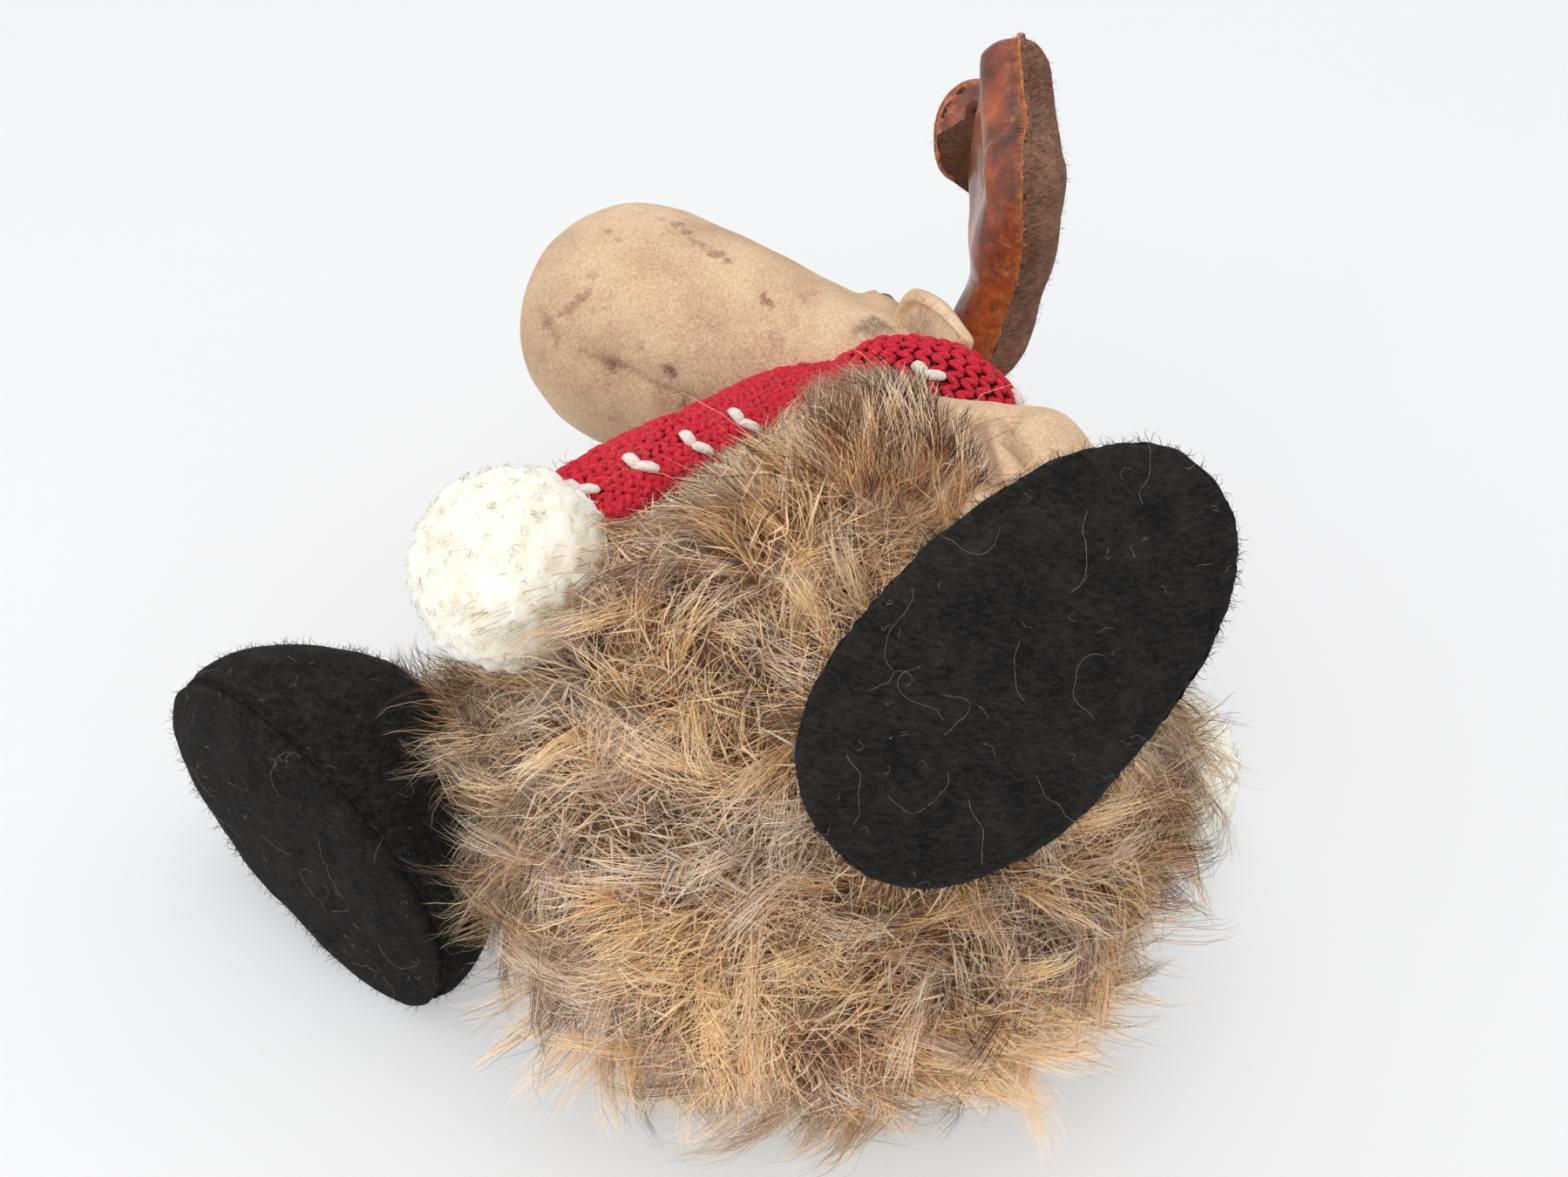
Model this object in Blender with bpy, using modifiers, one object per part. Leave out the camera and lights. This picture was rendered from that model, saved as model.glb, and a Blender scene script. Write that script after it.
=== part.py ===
"""Plush moose with a fur body, a velvet head, felt boots and a knitted scarf, lying on its right side.

Metres, +Z up from the table. The moose faces -X, its crown points to +Y and its left side is up.
Each piece is modelled in a frame of its own: +X forward, +Y to the moose's left, +Z up the moose.
"""
import math

import bmesh
import bpy
from mathutils import Matrix, Vector

# Clearances and cloth thicknesses
GAP = 0.0003
FILL_GAP = 0.0005
VELVET = 0.0016
FELT = 0.0024
SOLE_FELT = 0.0045
FUR_PILE = 0.016
TABLE_FLAT = 0.0005

# Fur body: a big round bottom that tapers to the shoulders
BODY_RADIUS = 0.078
SHOULDER_RADIUS = 0.034
BODY_RISE = 0.080
PELLET_DEPTH = 0.040
BODY_AXIS = Vector((0.201, 0.972, 0.121))

# Neck and head: a club that swells from the nape to the muzzle
NECK_RADIUS = 0.0115
NECK_SINK = 0.012
NAPE_RADIUS = 0.0200
MUZZLE_RADIUS = 0.0338
MUZZLE_REACH = 0.088
HEAD_AXIS = Vector((-0.887, 0.460, 0.030))
HEAD_SAG = 0.006
EYE_RADIUS = 0.0034
EYE_FORWARD = 0.023
EYE_ANGLE = 42.0
EAR_LENGTH = 0.027
EAR_WIDTH = 0.019
EAR_THICK = 0.0055
EAR_FORWARD = 0.012
EAR_ANGLE = 80.0
EAR_LEAN = Vector((-0.86, 0.42, -0.28))
EAR_BACK = Vector((0.1, 0.55, 0.8))

# Antlers: two puffed layers sewn round a palmate outline
ANTLER_LENGTH = 0.090
ANTLER_SPREAD = 0.074
ANTLER_STEM = 0.022
ANTLER_THICK = 0.015
ANTLER_BACK = 0.010
ANTLER_ANGLE = 40.0
ANTLER_SINK = 0.006
FILLING_SPREAD = 0.50
FILLING_REACH = 0.44
FILLING_MIDDLE = 0.43
ANTLER_FILL_GAP = 0.0014
ANTLER_LEFT_AXIS = Vector((0.09, 0.40, 0.915))
ANTLER_RIGHT_AXIS = Vector((0.06, 0.58, -0.81))

# Scarf and pompoms
SCARF_THICK = 0.0155
SCARF_WIDTH = 0.026
SCARF_RING_RADIUS = 0.0225
TAIL_THICK = 0.013
POMPOM_RADIUS = 0.0238
FRONT_POMPOM_PLACE = Vector((-0.0724, 0.0040, 0.0537))
FRONT_TAIL_ROUTE = (Vector((-0.009, 0.099, 0.0445)), Vector((-0.0240, 0.0710, 0.0545)),
                    Vector((-0.0415, 0.0465, 0.0610)), Vector((-0.0590, 0.0240, 0.0610)))
FRONT_TAIL_LIFT = Vector((-0.80, 0.05, 0.60))
BACK_POMPOM_PLACE = Vector((0.0855, 0.0610, 0))
BACK_TAIL_ROUTE = (Vector((0.0680, 0.1100, -0.0140)), Vector((0.0800, 0.0930, -0.0360)))
BACK_TAIL_LIFT = Vector((0.60, 0.30, 0.75))
TAIL_STEPS = 3
TAIL_SIDES = 12

# Legs and boots
LEG_RADIUS = 0.0185
KNEE_RADIUS = 0.0181
ANKLE_RADIUS = 0.0165
THIGH_LENGTH = 0.031
SHIN_LENGTH = 0.040
BOOT_LENGTH = 0.108
BOOT_WIDTH = 0.060
BOOT_HEIGHT = 0.046
BOOT_TOE_DROP = 0.22
BOOT_TOE_FLARE = 0.08
ANKLE_BACK = 0.010
ANKLE_RISE = 0.034
LEFT_BOOT_DIRECTION = Vector((0.298, -0.629, 0.722))
LEFT_BOOT_TOE = Vector((-0.70, -0.421, -0.579))
LEFT_SOLE_FACING = Vector((-0.075, -0.793, 0.604))
RIGHT_BOOT_PLACE = Vector((-0.1300, 0.0235, 0))
RIGHT_BOOT_TOE = Vector((0.66, -0.68, -0.30))
RIGHT_SOLE_FACING = Vector((-0.70, -0.71, -0.02))
LEFT_HIP_DIRECTION = Vector((0.24, 0.12, 0.96))
RIGHT_HIP_DIRECTION = Vector((-0.75, 0.42, -0.51))
LEFT_KNEE_OUTWARD = Vector((0.2, 0.85, 0.45))
RIGHT_KNEE_OUTWARD = Vector((0.0, 1.0, 0.0))
RIGHT_LEG_HINGE = Vector((0.0, 0.0, -1.0))

# Facets
ROUND_STEPS = 28
LIMB_STEPS = 18
BOOT_ROWS = 12
ARC_DEGREES = 15

FUR = ("fur", (0.46, 0.34, 0.21), 0.95)
BATTING = ("batting", (0.90, 0.89, 0.86), 0.95)
PELLETS = ("pellets", (0.75, 0.75, 0.72), 0.50)
TAN_VELVET = ("tan_velvet", (0.66, 0.47, 0.31), 0.85)
BEAD = ("bead", (0.01, 0.01, 0.01), 0.08)
LEATHER = ("leather", (0.36, 0.12, 0.04), 0.35)
BROWN_FELT = ("brown_felt", (0.10, 0.045, 0.03), 0.95)
RED_KNIT = ("red_knit", (0.50, 0.012, 0.03), 0.90)
WHITE_WOOL = ("white_wool", (0.88, 0.86, 0.80), 0.95)
BLACK_FELT = ("black_felt", (0.012, 0.012, 0.013), 0.95)


def clear_scene():
    for item in list(bpy.data.objects):
        bpy.data.objects.remove(item, do_unlink=True)


def new_collection(name):
    group = bpy.data.collections.new(name)
    bpy.context.scene.collection.children.link(group)
    return group


def material(finish):
    name, colour, roughness = finish
    found = bpy.data.materials.get(name)
    if found:
        return found
    made = bpy.data.materials.new(name)
    made.use_nodes = True
    shader = made.node_tree.nodes["Principled BSDF"]
    shader.inputs["Base Color"].default_value = (*colour, 1.0)
    shader.inputs["Roughness"].default_value = roughness
    shader.inputs["Metallic"].default_value = 0.0
    return made


def frame_from(origin, main, side, main_axis="Z"):
    """A frame at origin whose main_axis runs along main and whose Y leans to side."""
    first = main.normalized()
    left = (side - first * side.dot(first)).normalized()
    if main_axis == "Z":
        columns = (left.cross(first), left, first)
    else:
        columns = (first, left, first.cross(left))
    turn = Matrix(columns).transposed()
    return Matrix.Translation(origin) @ turn.to_4x4()


def empty(name, frame, parent=None):
    item = bpy.data.objects.new(name, None)
    item.empty_display_size = 0.02
    parts.objects.link(item)
    if parent:
        item.parent = parent
    item.matrix_basis = frame
    return item


def piece(name, mesh, finish, parent, frame=None):
    """An object of mesh under parent, at frame in the parent's own axes."""
    item = bpy.data.objects.new(name, mesh)
    parts.objects.link(item)
    mesh.materials.append(material(finish))
    item.parent = parent
    if frame:
        item.matrix_basis = frame
    mesh.shade_smooth()
    return item


def cutter(name, mesh, parent, frame=None):
    item = bpy.data.objects.new(name, mesh)
    cutters.objects.link(item)
    item.parent = parent
    if frame:
        item.matrix_basis = frame
    item.hide_render = True
    item.display_type = "WIRE"
    return item


def apply_boolean(item, tool, operation="DIFFERENCE"):
    cut = item.modifiers.new(f"{operation.lower()} {tool.name}", "BOOLEAN")
    cut.operation = operation
    cut.solver = "EXACT"
    cut.object = tool


def taper_profile(low, high, length):
    """Radius and height down the outside of the hull of two balls, from the top pole to the bottom."""
    lean = math.degrees(math.asin((low - high) / length))
    points = []
    top_steps = max(2, round((90 - lean) / ARC_DEGREES))
    for i in range(top_steps + 1):
        angle = math.radians(90 + (lean - 90) * i / top_steps)
        points.append((high * math.cos(angle), length + high * math.sin(angle)))
    low_steps = max(2, round((lean + 90) / ARC_DEGREES))
    for i in range(low_steps + 1):
        angle = math.radians(lean - (lean + 90) * i / low_steps)
        points.append((low * math.cos(angle), low * math.sin(angle)))
    points[0] = (0.0, points[0][1])
    points[-1] = (0.0, points[-1][1])
    return points


def ball_profile(radius):
    count = round(180 / ARC_DEGREES)
    points = []
    for i in range(count + 1):
        angle = math.radians(90 - 180 * i / count)
        points.append((radius * math.cos(angle), radius * math.sin(angle)))
    points[0] = (0.0, radius)
    points[-1] = (0.0, -radius)
    return points


def ring_profile(middle, half_thick, half_width):
    """The closed section of a band that circles the axis, clockwise seen from its front."""
    points = []
    for i in range(LIMB_STEPS):
        angle = -2 * math.pi * i / LIMB_STEPS
        points.append((middle + half_thick * math.cos(angle), half_width * math.sin(angle)))
    return points + points[:1]


def turned(name, profile, steps=ROUND_STEPS):
    """A mesh spun round Z from a profile of radius and height."""
    sheet = bpy.data.meshes.new(name)
    closed = profile[0] == profile[-1]
    points = profile[:-1] if closed else profile
    edges = [(i, i + 1) for i in range(len(points) - 1)]
    if closed:
        edges.append((len(points) - 1, 0))
    sheet.from_pydata([(r, 0.0, z) for r, z in points], edges, [])
    turner = bpy.data.objects.new(name, sheet)
    cutters.objects.link(turner)
    spin = turner.modifiers.new("spin", "SCREW")
    spin.axis = "Z"
    spin.steps = steps
    spin.render_steps = steps
    spin.use_merge_vertices = True
    spin.merge_threshold = 0.00002
    spin.use_normal_calculate = False
    bpy.context.view_layer.update()
    reader = turner.evaluated_get(bpy.context.evaluated_depsgraph_get())
    mesh = bpy.data.meshes.new_from_object(reader)
    bpy.data.objects.remove(turner)
    mesh.name = name
    return mesh


def shaped_ball(name, shape, around=ROUND_STEPS, rows=12, keep_upper=False):
    """A unit ball whose points are moved by shape; keep_upper leaves the open half above Z = 0."""
    mesh = bpy.data.meshes.new(name)
    ball = bmesh.new()
    bmesh.ops.create_uvsphere(ball, u_segments=around, v_segments=rows, radius=1.0)
    if keep_upper:
        everything = ball.verts[:] + ball.edges[:] + ball.faces[:]
        bmesh.ops.bisect_plane(ball, geom=everything, plane_no=(0, 0, 1), clear_inner=True, dist=1e-6)
    for point in ball.verts:
        point.co = shape(point.co.copy())
    ball.to_mesh(mesh)
    ball.free()
    return mesh


def half_space_cut(mesh, point, normal):
    """Keep the side of the plane away from normal and close the cut."""
    work = bmesh.new()
    work.from_mesh(mesh)
    everything = work.verts[:] + work.edges[:] + work.faces[:]
    cut = bmesh.ops.bisect_plane(work, geom=everything, plane_co=point, plane_no=normal, clear_outer=True)
    rim = [edge for edge in cut["geom_cut"] if isinstance(edge, bmesh.types.BMEdge)]
    bmesh.ops.holes_fill(work, edges=rim)
    bmesh.ops.recalc_face_normals(work, faces=work.faces[:])
    work.to_mesh(mesh)
    work.free()


def world_points(item):
    bpy.context.view_layer.update()
    reader = item.evaluated_get(bpy.context.evaluated_depsgraph_get())
    mesh = reader.to_mesh()
    points = [item.matrix_world @ vertex.co for vertex in mesh.vertices]
    reader.to_mesh_clear()
    return points


def lowest(item):
    return min(point.z for point in world_points(item))


def hull_reach(low, high, length, direction):
    """How far the hull of two balls reaches from its low ball's centre along a unit direction."""
    near = 0.0
    far = low + length + high
    for _ in range(40):
        middle = (near + far) / 2
        point = direction * middle
        share = min(1.0, max(0.0, point.z / length))
        for _ in range(20):
            radius = low + (high - low) * share
            side = math.hypot(point.x, point.y)
            lean = (low - high) / length
            share = min(1.0, max(0.0, (point.z - side * lean / math.sqrt(1 - lean * lean)) / length))
            radius = low + (high - low) * share
        inside = (point - Vector((0, 0, length * share))).length < radius
        if inside:
            near = middle
        else:
            far = middle
    return near


def make_body():
    """The fur shell with its stuffing and the bag of pellets that weights its bottom."""
    form = turned("body form", taper_profile(BODY_RADIUS, SHOULDER_RADIUS, BODY_RISE))
    shell = piece("body_fur", form, FUR, body)
    table_top = lowest(shell) + TABLE_FLAT
    slab = bpy.data.meshes.new("table slab")
    block = bmesh.new()
    bmesh.ops.create_cube(block, size=2 * BODY_RADIUS)
    block.to_mesh(slab)
    block.free()
    slab_at = Matrix.Translation((0, 0, table_top - BODY_RADIUS))
    apply_boolean(shell, cutter("table_cut", slab, moose, slab_at))
    inner_radius = BODY_RADIUS - FUR_PILE
    inner_shoulder = SHOULDER_RADIUS - FUR_PILE
    hollow = turned("body hollow", taper_profile(inner_radius, inner_shoulder, BODY_RISE))
    apply_boolean(shell, cutter("body_hollow_cut", hollow, body))
    reach = BODY_RISE + 2 * SHOULDER_RADIUS
    hole = neck_tube("neck hole", NECK_RADIUS + GAP, BODY_RISE, reach)
    apply_boolean(shell, cutter("neck_hole_cut", hole, body))

    filled_radius = inner_radius - FILL_GAP
    filled_shoulder = inner_shoulder - FILL_GAP
    profile = taper_profile(filled_radius, filled_shoulder, BODY_RISE)
    upper = turned("stuffing", profile)
    pellet_top = PELLET_DEPTH - filled_radius
    half_space_cut(upper, Vector((0, 0, pellet_top + GAP)), Vector((0, 0, -1)))
    neck_end = BODY_RISE + filled_shoulder - NECK_SINK
    half_space_cut(upper, Vector((0, 0, neck_end)), Vector((0, 0, 1)))
    piece("body_stuffing", upper, BATTING, body)
    lower = turned("pellets", profile)
    half_space_cut(lower, Vector((0, 0, pellet_top)), Vector((0, 0, 1)))
    piece("pellet_bag", lower, PELLETS, body)
    return shell, neck_end + GAP, table_top


def head_form(shrink, name):
    return turned(name, taper_profile(NAPE_RADIUS - shrink, MUZZLE_RADIUS - shrink, MUZZLE_REACH))


def neck_tube(name, radius, low, high):
    return turned(name, [(0, high), (radius, high), (radius, low), (0, low)], LIMB_STEPS)


def make_head(neck_end, head_height):
    """The velvet cover with its neck sleeve, and the stuffing that fills both."""
    lay = LYING_CLUB
    cover = piece("head_cover", head_form(0, "head form"), TAN_VELVET, head, lay)
    sleeve = cutter("neck_sleeve", neck_tube("neck", NECK_RADIUS, neck_end, head_height), body)
    apply_boolean(cover, sleeve, "UNION")
    apply_boolean(cover, cutter("head_hollow", head_form(VELVET, "head hollow"), head, lay))
    below = neck_end - VELVET
    bore = cutter("neck_bore", neck_tube("bore", NECK_RADIUS - VELVET, below, head_height), body)
    apply_boolean(cover, bore)
    stuffing = piece("head_stuffing", head_form(VELVET + FILL_GAP, "head filling"), BATTING, head, lay)
    core_radius = NECK_RADIUS - VELVET - FILL_GAP
    core = cutter("neck_core", neck_tube("core", core_radius, neck_end, head_height), body)
    apply_boolean(stuffing, core, "UNION")
    return cover


def head_side(forward, angle, side, sink=0.0):
    """A point on the head's surface, forward of the nape and angle degrees from the crown."""
    lean = (MUZZLE_RADIUS - NAPE_RADIUS) / MUZZLE_REACH
    if forward < 0:
        radius = math.sqrt(NAPE_RADIUS ** 2 - forward ** 2) - sink
    else:
        radius = (NAPE_RADIUS + forward * lean) / math.sqrt(1 - lean * lean) - sink
    turn = math.radians(angle)
    return Vector((forward, side * radius * math.sin(turn), radius * math.cos(turn)))


def ear_shape(grow):
    """A leaf that is cupped across its width and comes to a soft point, thicker by grow all round."""
    def shape(point):
        along = (point.x + 1) * EAR_LENGTH / 2 + point.x * grow
        narrowing = 1 - 0.35 * max(0.0, point.x)
        across = point.y * (EAR_WIDTH / 2 * narrowing + grow)
        cup = 0.35 * EAR_WIDTH * point.y * point.y
        return Vector((along, across, point.z * (EAR_THICK / 2 + grow) + cup))
    return shape


def make_eyes_and_ears(head_cut):
    """The bead eyes and velvet ears, and the room that each ear takes from the scarf."""
    made = []
    for label, side in (("left", 1), ("right", -1)):
        eye_at = head_side(EYE_FORWARD, EYE_ANGLE, side, -EYE_RADIUS * 0.4)
        eye = piece(f"eye_{label}", turned("bead", ball_profile(EYE_RADIUS), LIMB_STEPS), BEAD, head,
                    Matrix.Translation(eye_at))
        apply_boolean(eye, head_cut)
        root = head_side(EAR_FORWARD, EAR_ANGLE, side, EAR_THICK)
        out = Vector((EAR_LEAN.x, side * EAR_LEAN.y, EAR_LEAN.z))
        across = Vector((EAR_BACK.x, side * EAR_BACK.y, EAR_BACK.z))
        frame = frame_from(root, out, across, "X")
        leaf = shaped_ball("ear leaf", ear_shape(0), LIMB_STEPS, 8)
        ear = piece(f"ear_{label}", leaf, TAN_VELVET, head, frame)
        apply_boolean(ear, head_cut)
        room = shaped_ball("ear room", ear_shape(2 * GAP), LIMB_STEPS, 8)
        made.append(cutter(f"ear_{label}_cut", room, head, frame))
    return made


def antler_outline():
    """Half-width and height round the palm, its four tines and its stem, in shares of spread and length."""
    stem = ANTLER_STEM / ANTLER_SPREAD / 2
    return ((-stem, 0.0), (-stem, 0.22), (-0.34, 0.34), (-0.47, 0.52), (-0.42, 0.70), (-0.25, 0.62),
            (-0.24, 0.90), (-0.08, 0.98), (-0.02, 0.76), (0.09, 0.98), (0.26, 0.94), (0.22, 0.66),
            (0.40, 0.72), (0.48, 0.56), (0.34, 0.34), (stem, 0.20), (stem, 0.0))


def antler_body(name, edge, inset):
    """The whole puffed antler as one mesh, drawn in from its outline by inset."""
    flat = bpy.data.curves.new(name, "CURVE")
    flat.dimensions = "2D"
    flat.fill_mode = "BOTH"
    line = flat.splines.new("NURBS")
    outline = antler_outline()
    line.points.add(len(outline) - 1)
    for point, (across, along) in zip(line.points, outline):
        point.co = (across * ANTLER_SPREAD, along * ANTLER_LENGTH, 0, 1)
    line.use_cyclic_u = True
    line.order_u = 3
    line.resolution_u = 3
    flat.bevel_depth = edge
    flat.bevel_resolution = 1
    flat.extrude = 0.0008
    flat.offset = -edge - inset
    item = bpy.data.objects.new(name, flat)
    cutters.objects.link(item)
    bpy.context.view_layer.update()
    reader = item.evaluated_get(bpy.context.evaluated_depsgraph_get())
    mesh = bpy.data.meshes.new_from_object(reader)
    bpy.data.objects.remove(item)
    work = bmesh.new()
    work.from_mesh(mesh)
    bmesh.ops.remove_doubles(work, verts=work.verts[:], dist=0.00002)
    bmesh.ops.recalc_face_normals(work, faces=work.faces[:])
    work.to_mesh(mesh)
    work.free()
    return mesh


def antler_filling_shape(point):
    """A flat lens of batting that fills the middle of the palm between the two layers."""
    across = point.x * ANTLER_SPREAD * FILLING_SPREAD / 2
    along = ANTLER_LENGTH * (FILLING_MIDDLE + point.y * FILLING_REACH / 2)
    return Vector((across, along, point.z * (ANTLER_THICK / 2 - FELT - ANTLER_FILL_GAP)))


def make_antler(label, side, axis, head_cut):
    """Leather front, felt back and the batting between them, sewn to the head by the stem."""
    root = head_side(-ANTLER_BACK, ANTLER_ANGLE, side)
    turn = head.matrix_world.to_3x3().inverted()
    along = turn @ axis.normalized()
    face = turn @ Vector((-1.0, 0.0, 0.06))
    base = frame_from(root - along * ANTLER_SINK, along, -face, "Z")
    stand = base @ Matrix.Rotation(math.radians(90), 4, "X")
    edge = ANTLER_THICK / 2
    hollow = cutter(f"antler_{label}_hollow", antler_body("antler pocket", edge - FELT, FELT), head, stand)
    for layer, finish, facing in (("leather", LEATHER, 1), ("felt", BROWN_FELT, -1)):
        mesh = antler_body(f"antler {layer}", edge, 0)
        half_space_cut(mesh, Vector((0, 0, facing * GAP / 2)), Vector((0, 0, -facing)))
        half = piece(f"antler_{label}_{layer}", mesh, finish, head, stand)
        apply_boolean(half, hollow)
        apply_boolean(half, head_cut)
    core = shaped_ball("antler core", antler_filling_shape, LIMB_STEPS, BOOT_ROWS)
    piece(f"antler_{label}_filling", core, BATTING, head, stand)


def make_scarf(rooms, ring_at):
    band = turned("scarf ring", ring_profile(SCARF_RING_RADIUS, SCARF_THICK / 2, SCARF_WIDTH / 2))
    ring_frame = Matrix.Translation((0, 0, ring_at))
    ring = piece("scarf_wrap", band, RED_KNIT, body, ring_frame)
    for tool in rooms:
        apply_boolean(ring, tool)
    clear = ring_profile(SCARF_RING_RADIUS, SCARF_THICK / 2 + GAP, SCARF_WIDTH / 2 + GAP)
    return cutter("scarf_ring_cut", turned("ring room", clear), body, ring_frame)


def smooth_route(points, between):
    """Points on a smooth curve through the given ones, with so many steps between each pair."""
    padded = [2 * points[0] - points[1], *points, 2 * points[-1] - points[-2]]
    route = []
    for i in range(len(points) - 1):
        before, start, end, after = padded[i:i + 4]
        for step in range(between):
            t = step / between
            route.append(0.5 * (2 * start + (end - before) * t
                                + (2 * before - 5 * start + 4 * end - after) * t * t
                                + (3 * start - before - 3 * end + after) * t ** 3))
    route.append(points[-1].copy())
    return route


def band_mesh(name, points, centre, width, thick):
    """A soft band lofted along points, its flat side always turned to centre."""
    route = smooth_route(points, TAIL_STEPS)
    work = bmesh.new()
    rings = []
    for i, place in enumerate(route):
        onward = (route[min(i + 1, len(route) - 1)] - route[max(i - 1, 0)]).normalized()
        away = place - centre
        away = (away - onward * away.dot(onward)).normalized()
        across = onward.cross(away)
        ring = []
        for j in range(TAIL_SIDES):
            angle = 2 * math.pi * j / TAIL_SIDES
            offset = across * (math.cos(angle) * width / 2) + away * (math.sin(angle) * thick / 2)
            ring.append(work.verts.new(place + offset))
        rings.append(ring)
    for first, second in zip(rings, rings[1:]):
        for j in range(TAIL_SIDES):
            k = (j + 1) % TAIL_SIDES
            work.faces.new((first[j], first[k], second[k], second[j]))
    work.faces.new(rings[0][::-1])
    work.faces.new(rings[-1])
    bmesh.ops.recalc_face_normals(work, faces=work.faces[:])
    mesh = bpy.data.meshes.new(name)
    work.to_mesh(mesh)
    work.free()
    return mesh


def make_tail(label, start, route, pompom_at, lift, ring_cut, body_cut):
    """A scarf tail and its pompom, which swing off the body along lift at the seam with the wrap."""
    reach = (pompom_at - start).normalized()
    off = (lift - reach * lift.dot(reach)).normalized()
    pivot_at = start + off * TAIL_THICK / 2
    pivot = empty(f"tail_{label}", Matrix.Translation(pivot_at), moose)
    points = [point - pivot_at for point in (start, *route, pompom_at)]
    mesh = band_mesh(f"{label} tail", points, -pivot_at, SCARF_WIDTH, TAIL_THICK)
    tail = piece(f"scarf_tail_{label}", mesh, RED_KNIT, pivot)
    apply_boolean(tail, ring_cut)
    apply_boolean(tail, body_cut)
    ball_frame = Matrix.Translation(points[-1])
    room = turned("pompom room", ball_profile(POMPOM_RADIUS + GAP))
    room_cut = cutter(f"pompom_{label}_cut", room, pivot, ball_frame)
    apply_boolean(tail, room_cut)
    ball = turned("pompom ball", ball_profile(POMPOM_RADIUS))
    piece(f"pompom_{label}", ball, WHITE_WOOL, pivot, ball_frame)
    joints[f"tail_{label}"] = (pivot, reach.cross(off))
    return room_cut


def boot_shape(shrink):
    """The rounded boot above its sole: +X to the toe, +Z away from the ground."""
    def shape(point):
        along = point.x * (BOOT_LENGTH / 2 - shrink)
        across = point.y * (BOOT_WIDTH / 2 - shrink) * (1 + BOOT_TOE_FLARE * point.x)
        up = point.z * (BOOT_HEIGHT - shrink) * (1 - BOOT_TOE_DROP * point.x)
        return Vector((along, across, up))
    return shape


def sole_shape(point):
    """The sole: flat where it meets the upper and a little crowned below."""
    along = point.x * BOOT_LENGTH / 2
    across = point.y * BOOT_WIDTH / 2 * (1 + BOOT_TOE_FLARE * point.x)
    return Vector((along, across, -math.sqrt(max(0.0, point.z)) * SOLE_FELT))


def flat_capped(mesh):
    """Close an open rim at Z = 0 with one flat face."""
    work = bmesh.new()
    work.from_mesh(mesh)
    rim = [edge for edge in work.edges if edge.is_boundary]
    bmesh.ops.holes_fill(work, edges=rim)
    bmesh.ops.recalc_face_normals(work, faces=work.faces[:])
    work.to_mesh(mesh)
    work.free()
    return mesh


def half_boot(name, shrink):
    return shaped_ball(name, boot_shape(shrink), ROUND_STEPS, BOOT_ROWS, keep_upper=True)


def boot_wall(name):
    """The felt upper as one even wall, open below, its two rims joined at Z = 0."""
    work = bmesh.new()
    work.from_mesh(half_boot("boot lining", FELT))
    bmesh.ops.reverse_faces(work, faces=work.faces[:])
    work.from_mesh(half_boot("boot outside", 0))
    rims = [edge for edge in work.edges if edge.is_boundary]
    bmesh.ops.bridge_loops(work, edges=rims)
    bmesh.ops.recalc_face_normals(work, faces=work.faces[:])
    mesh = bpy.data.meshes.new(name)
    work.to_mesh(mesh)
    work.free()
    return mesh


def make_boot(label, pivot, frame):
    """Felt upper, felt sole and the stuffing between, in the boot's own frame."""
    piece(f"boot_{label}_upper", boot_wall("boot upper"), BLACK_FELT, pivot, frame)
    sole = flat_capped(shaped_ball("boot sole", sole_shape, ROUND_STEPS, BOOT_ROWS, keep_upper=True))
    under = frame @ Matrix.Translation((0, 0, -GAP))
    piece(f"boot_{label}_sole", sole, BLACK_FELT, pivot, under)
    core = flat_capped(half_boot("boot filling", FELT + FILL_GAP))
    piece(f"boot_{label}_stuffing", core, BATTING, pivot, frame)
    room = flat_capped(half_boot("boot room", -GAP))
    return cutter(f"boot_{label}_cut", room, pivot, frame)


def solve_knee(hip, ankle, outward):
    """The knee between two segments of set length, on the outward side."""
    reach = ankle - hip
    span = min(reach.length, (THIGH_LENGTH + SHIN_LENGTH) * 0.999)
    along = (THIGH_LENGTH ** 2 - SHIN_LENGTH ** 2 + span ** 2) / (2 * span)
    rise = math.sqrt(max(0.0, THIGH_LENGTH ** 2 - along ** 2))
    forward = reach.normalized()
    side = (outward - forward * outward.dot(forward)).normalized()
    return hip + forward * along + side * rise


def limb(name, start, end, start_radius, end_radius, pivot_at):
    """A tapered velvet limb between two points, as a mesh placed in its pivot's frame."""
    length = (end - start).length
    mesh = turned(name, taper_profile(start_radius, end_radius, length), LIMB_STEPS)
    mesh.transform(frame_from(start - pivot_at, end - start, Vector((0, 0, 1))))
    return mesh


def on_rim(start, onward):
    """The point where a line leaves the room kept round the body."""
    near = -2 * LEG_RADIUS
    far = 2 * LEG_RADIUS
    for _ in range(30):
        middle = (near + far) / 2
        place = body_turn.inverted() @ (start + onward * middle)
        reach = hull_reach(BODY_RADIUS + GAP, SHOULDER_RADIUS + GAP, BODY_RISE, place.normalized())
        if place.length < reach:
            near = middle
        else:
            far = middle
    return start + onward * far


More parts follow.
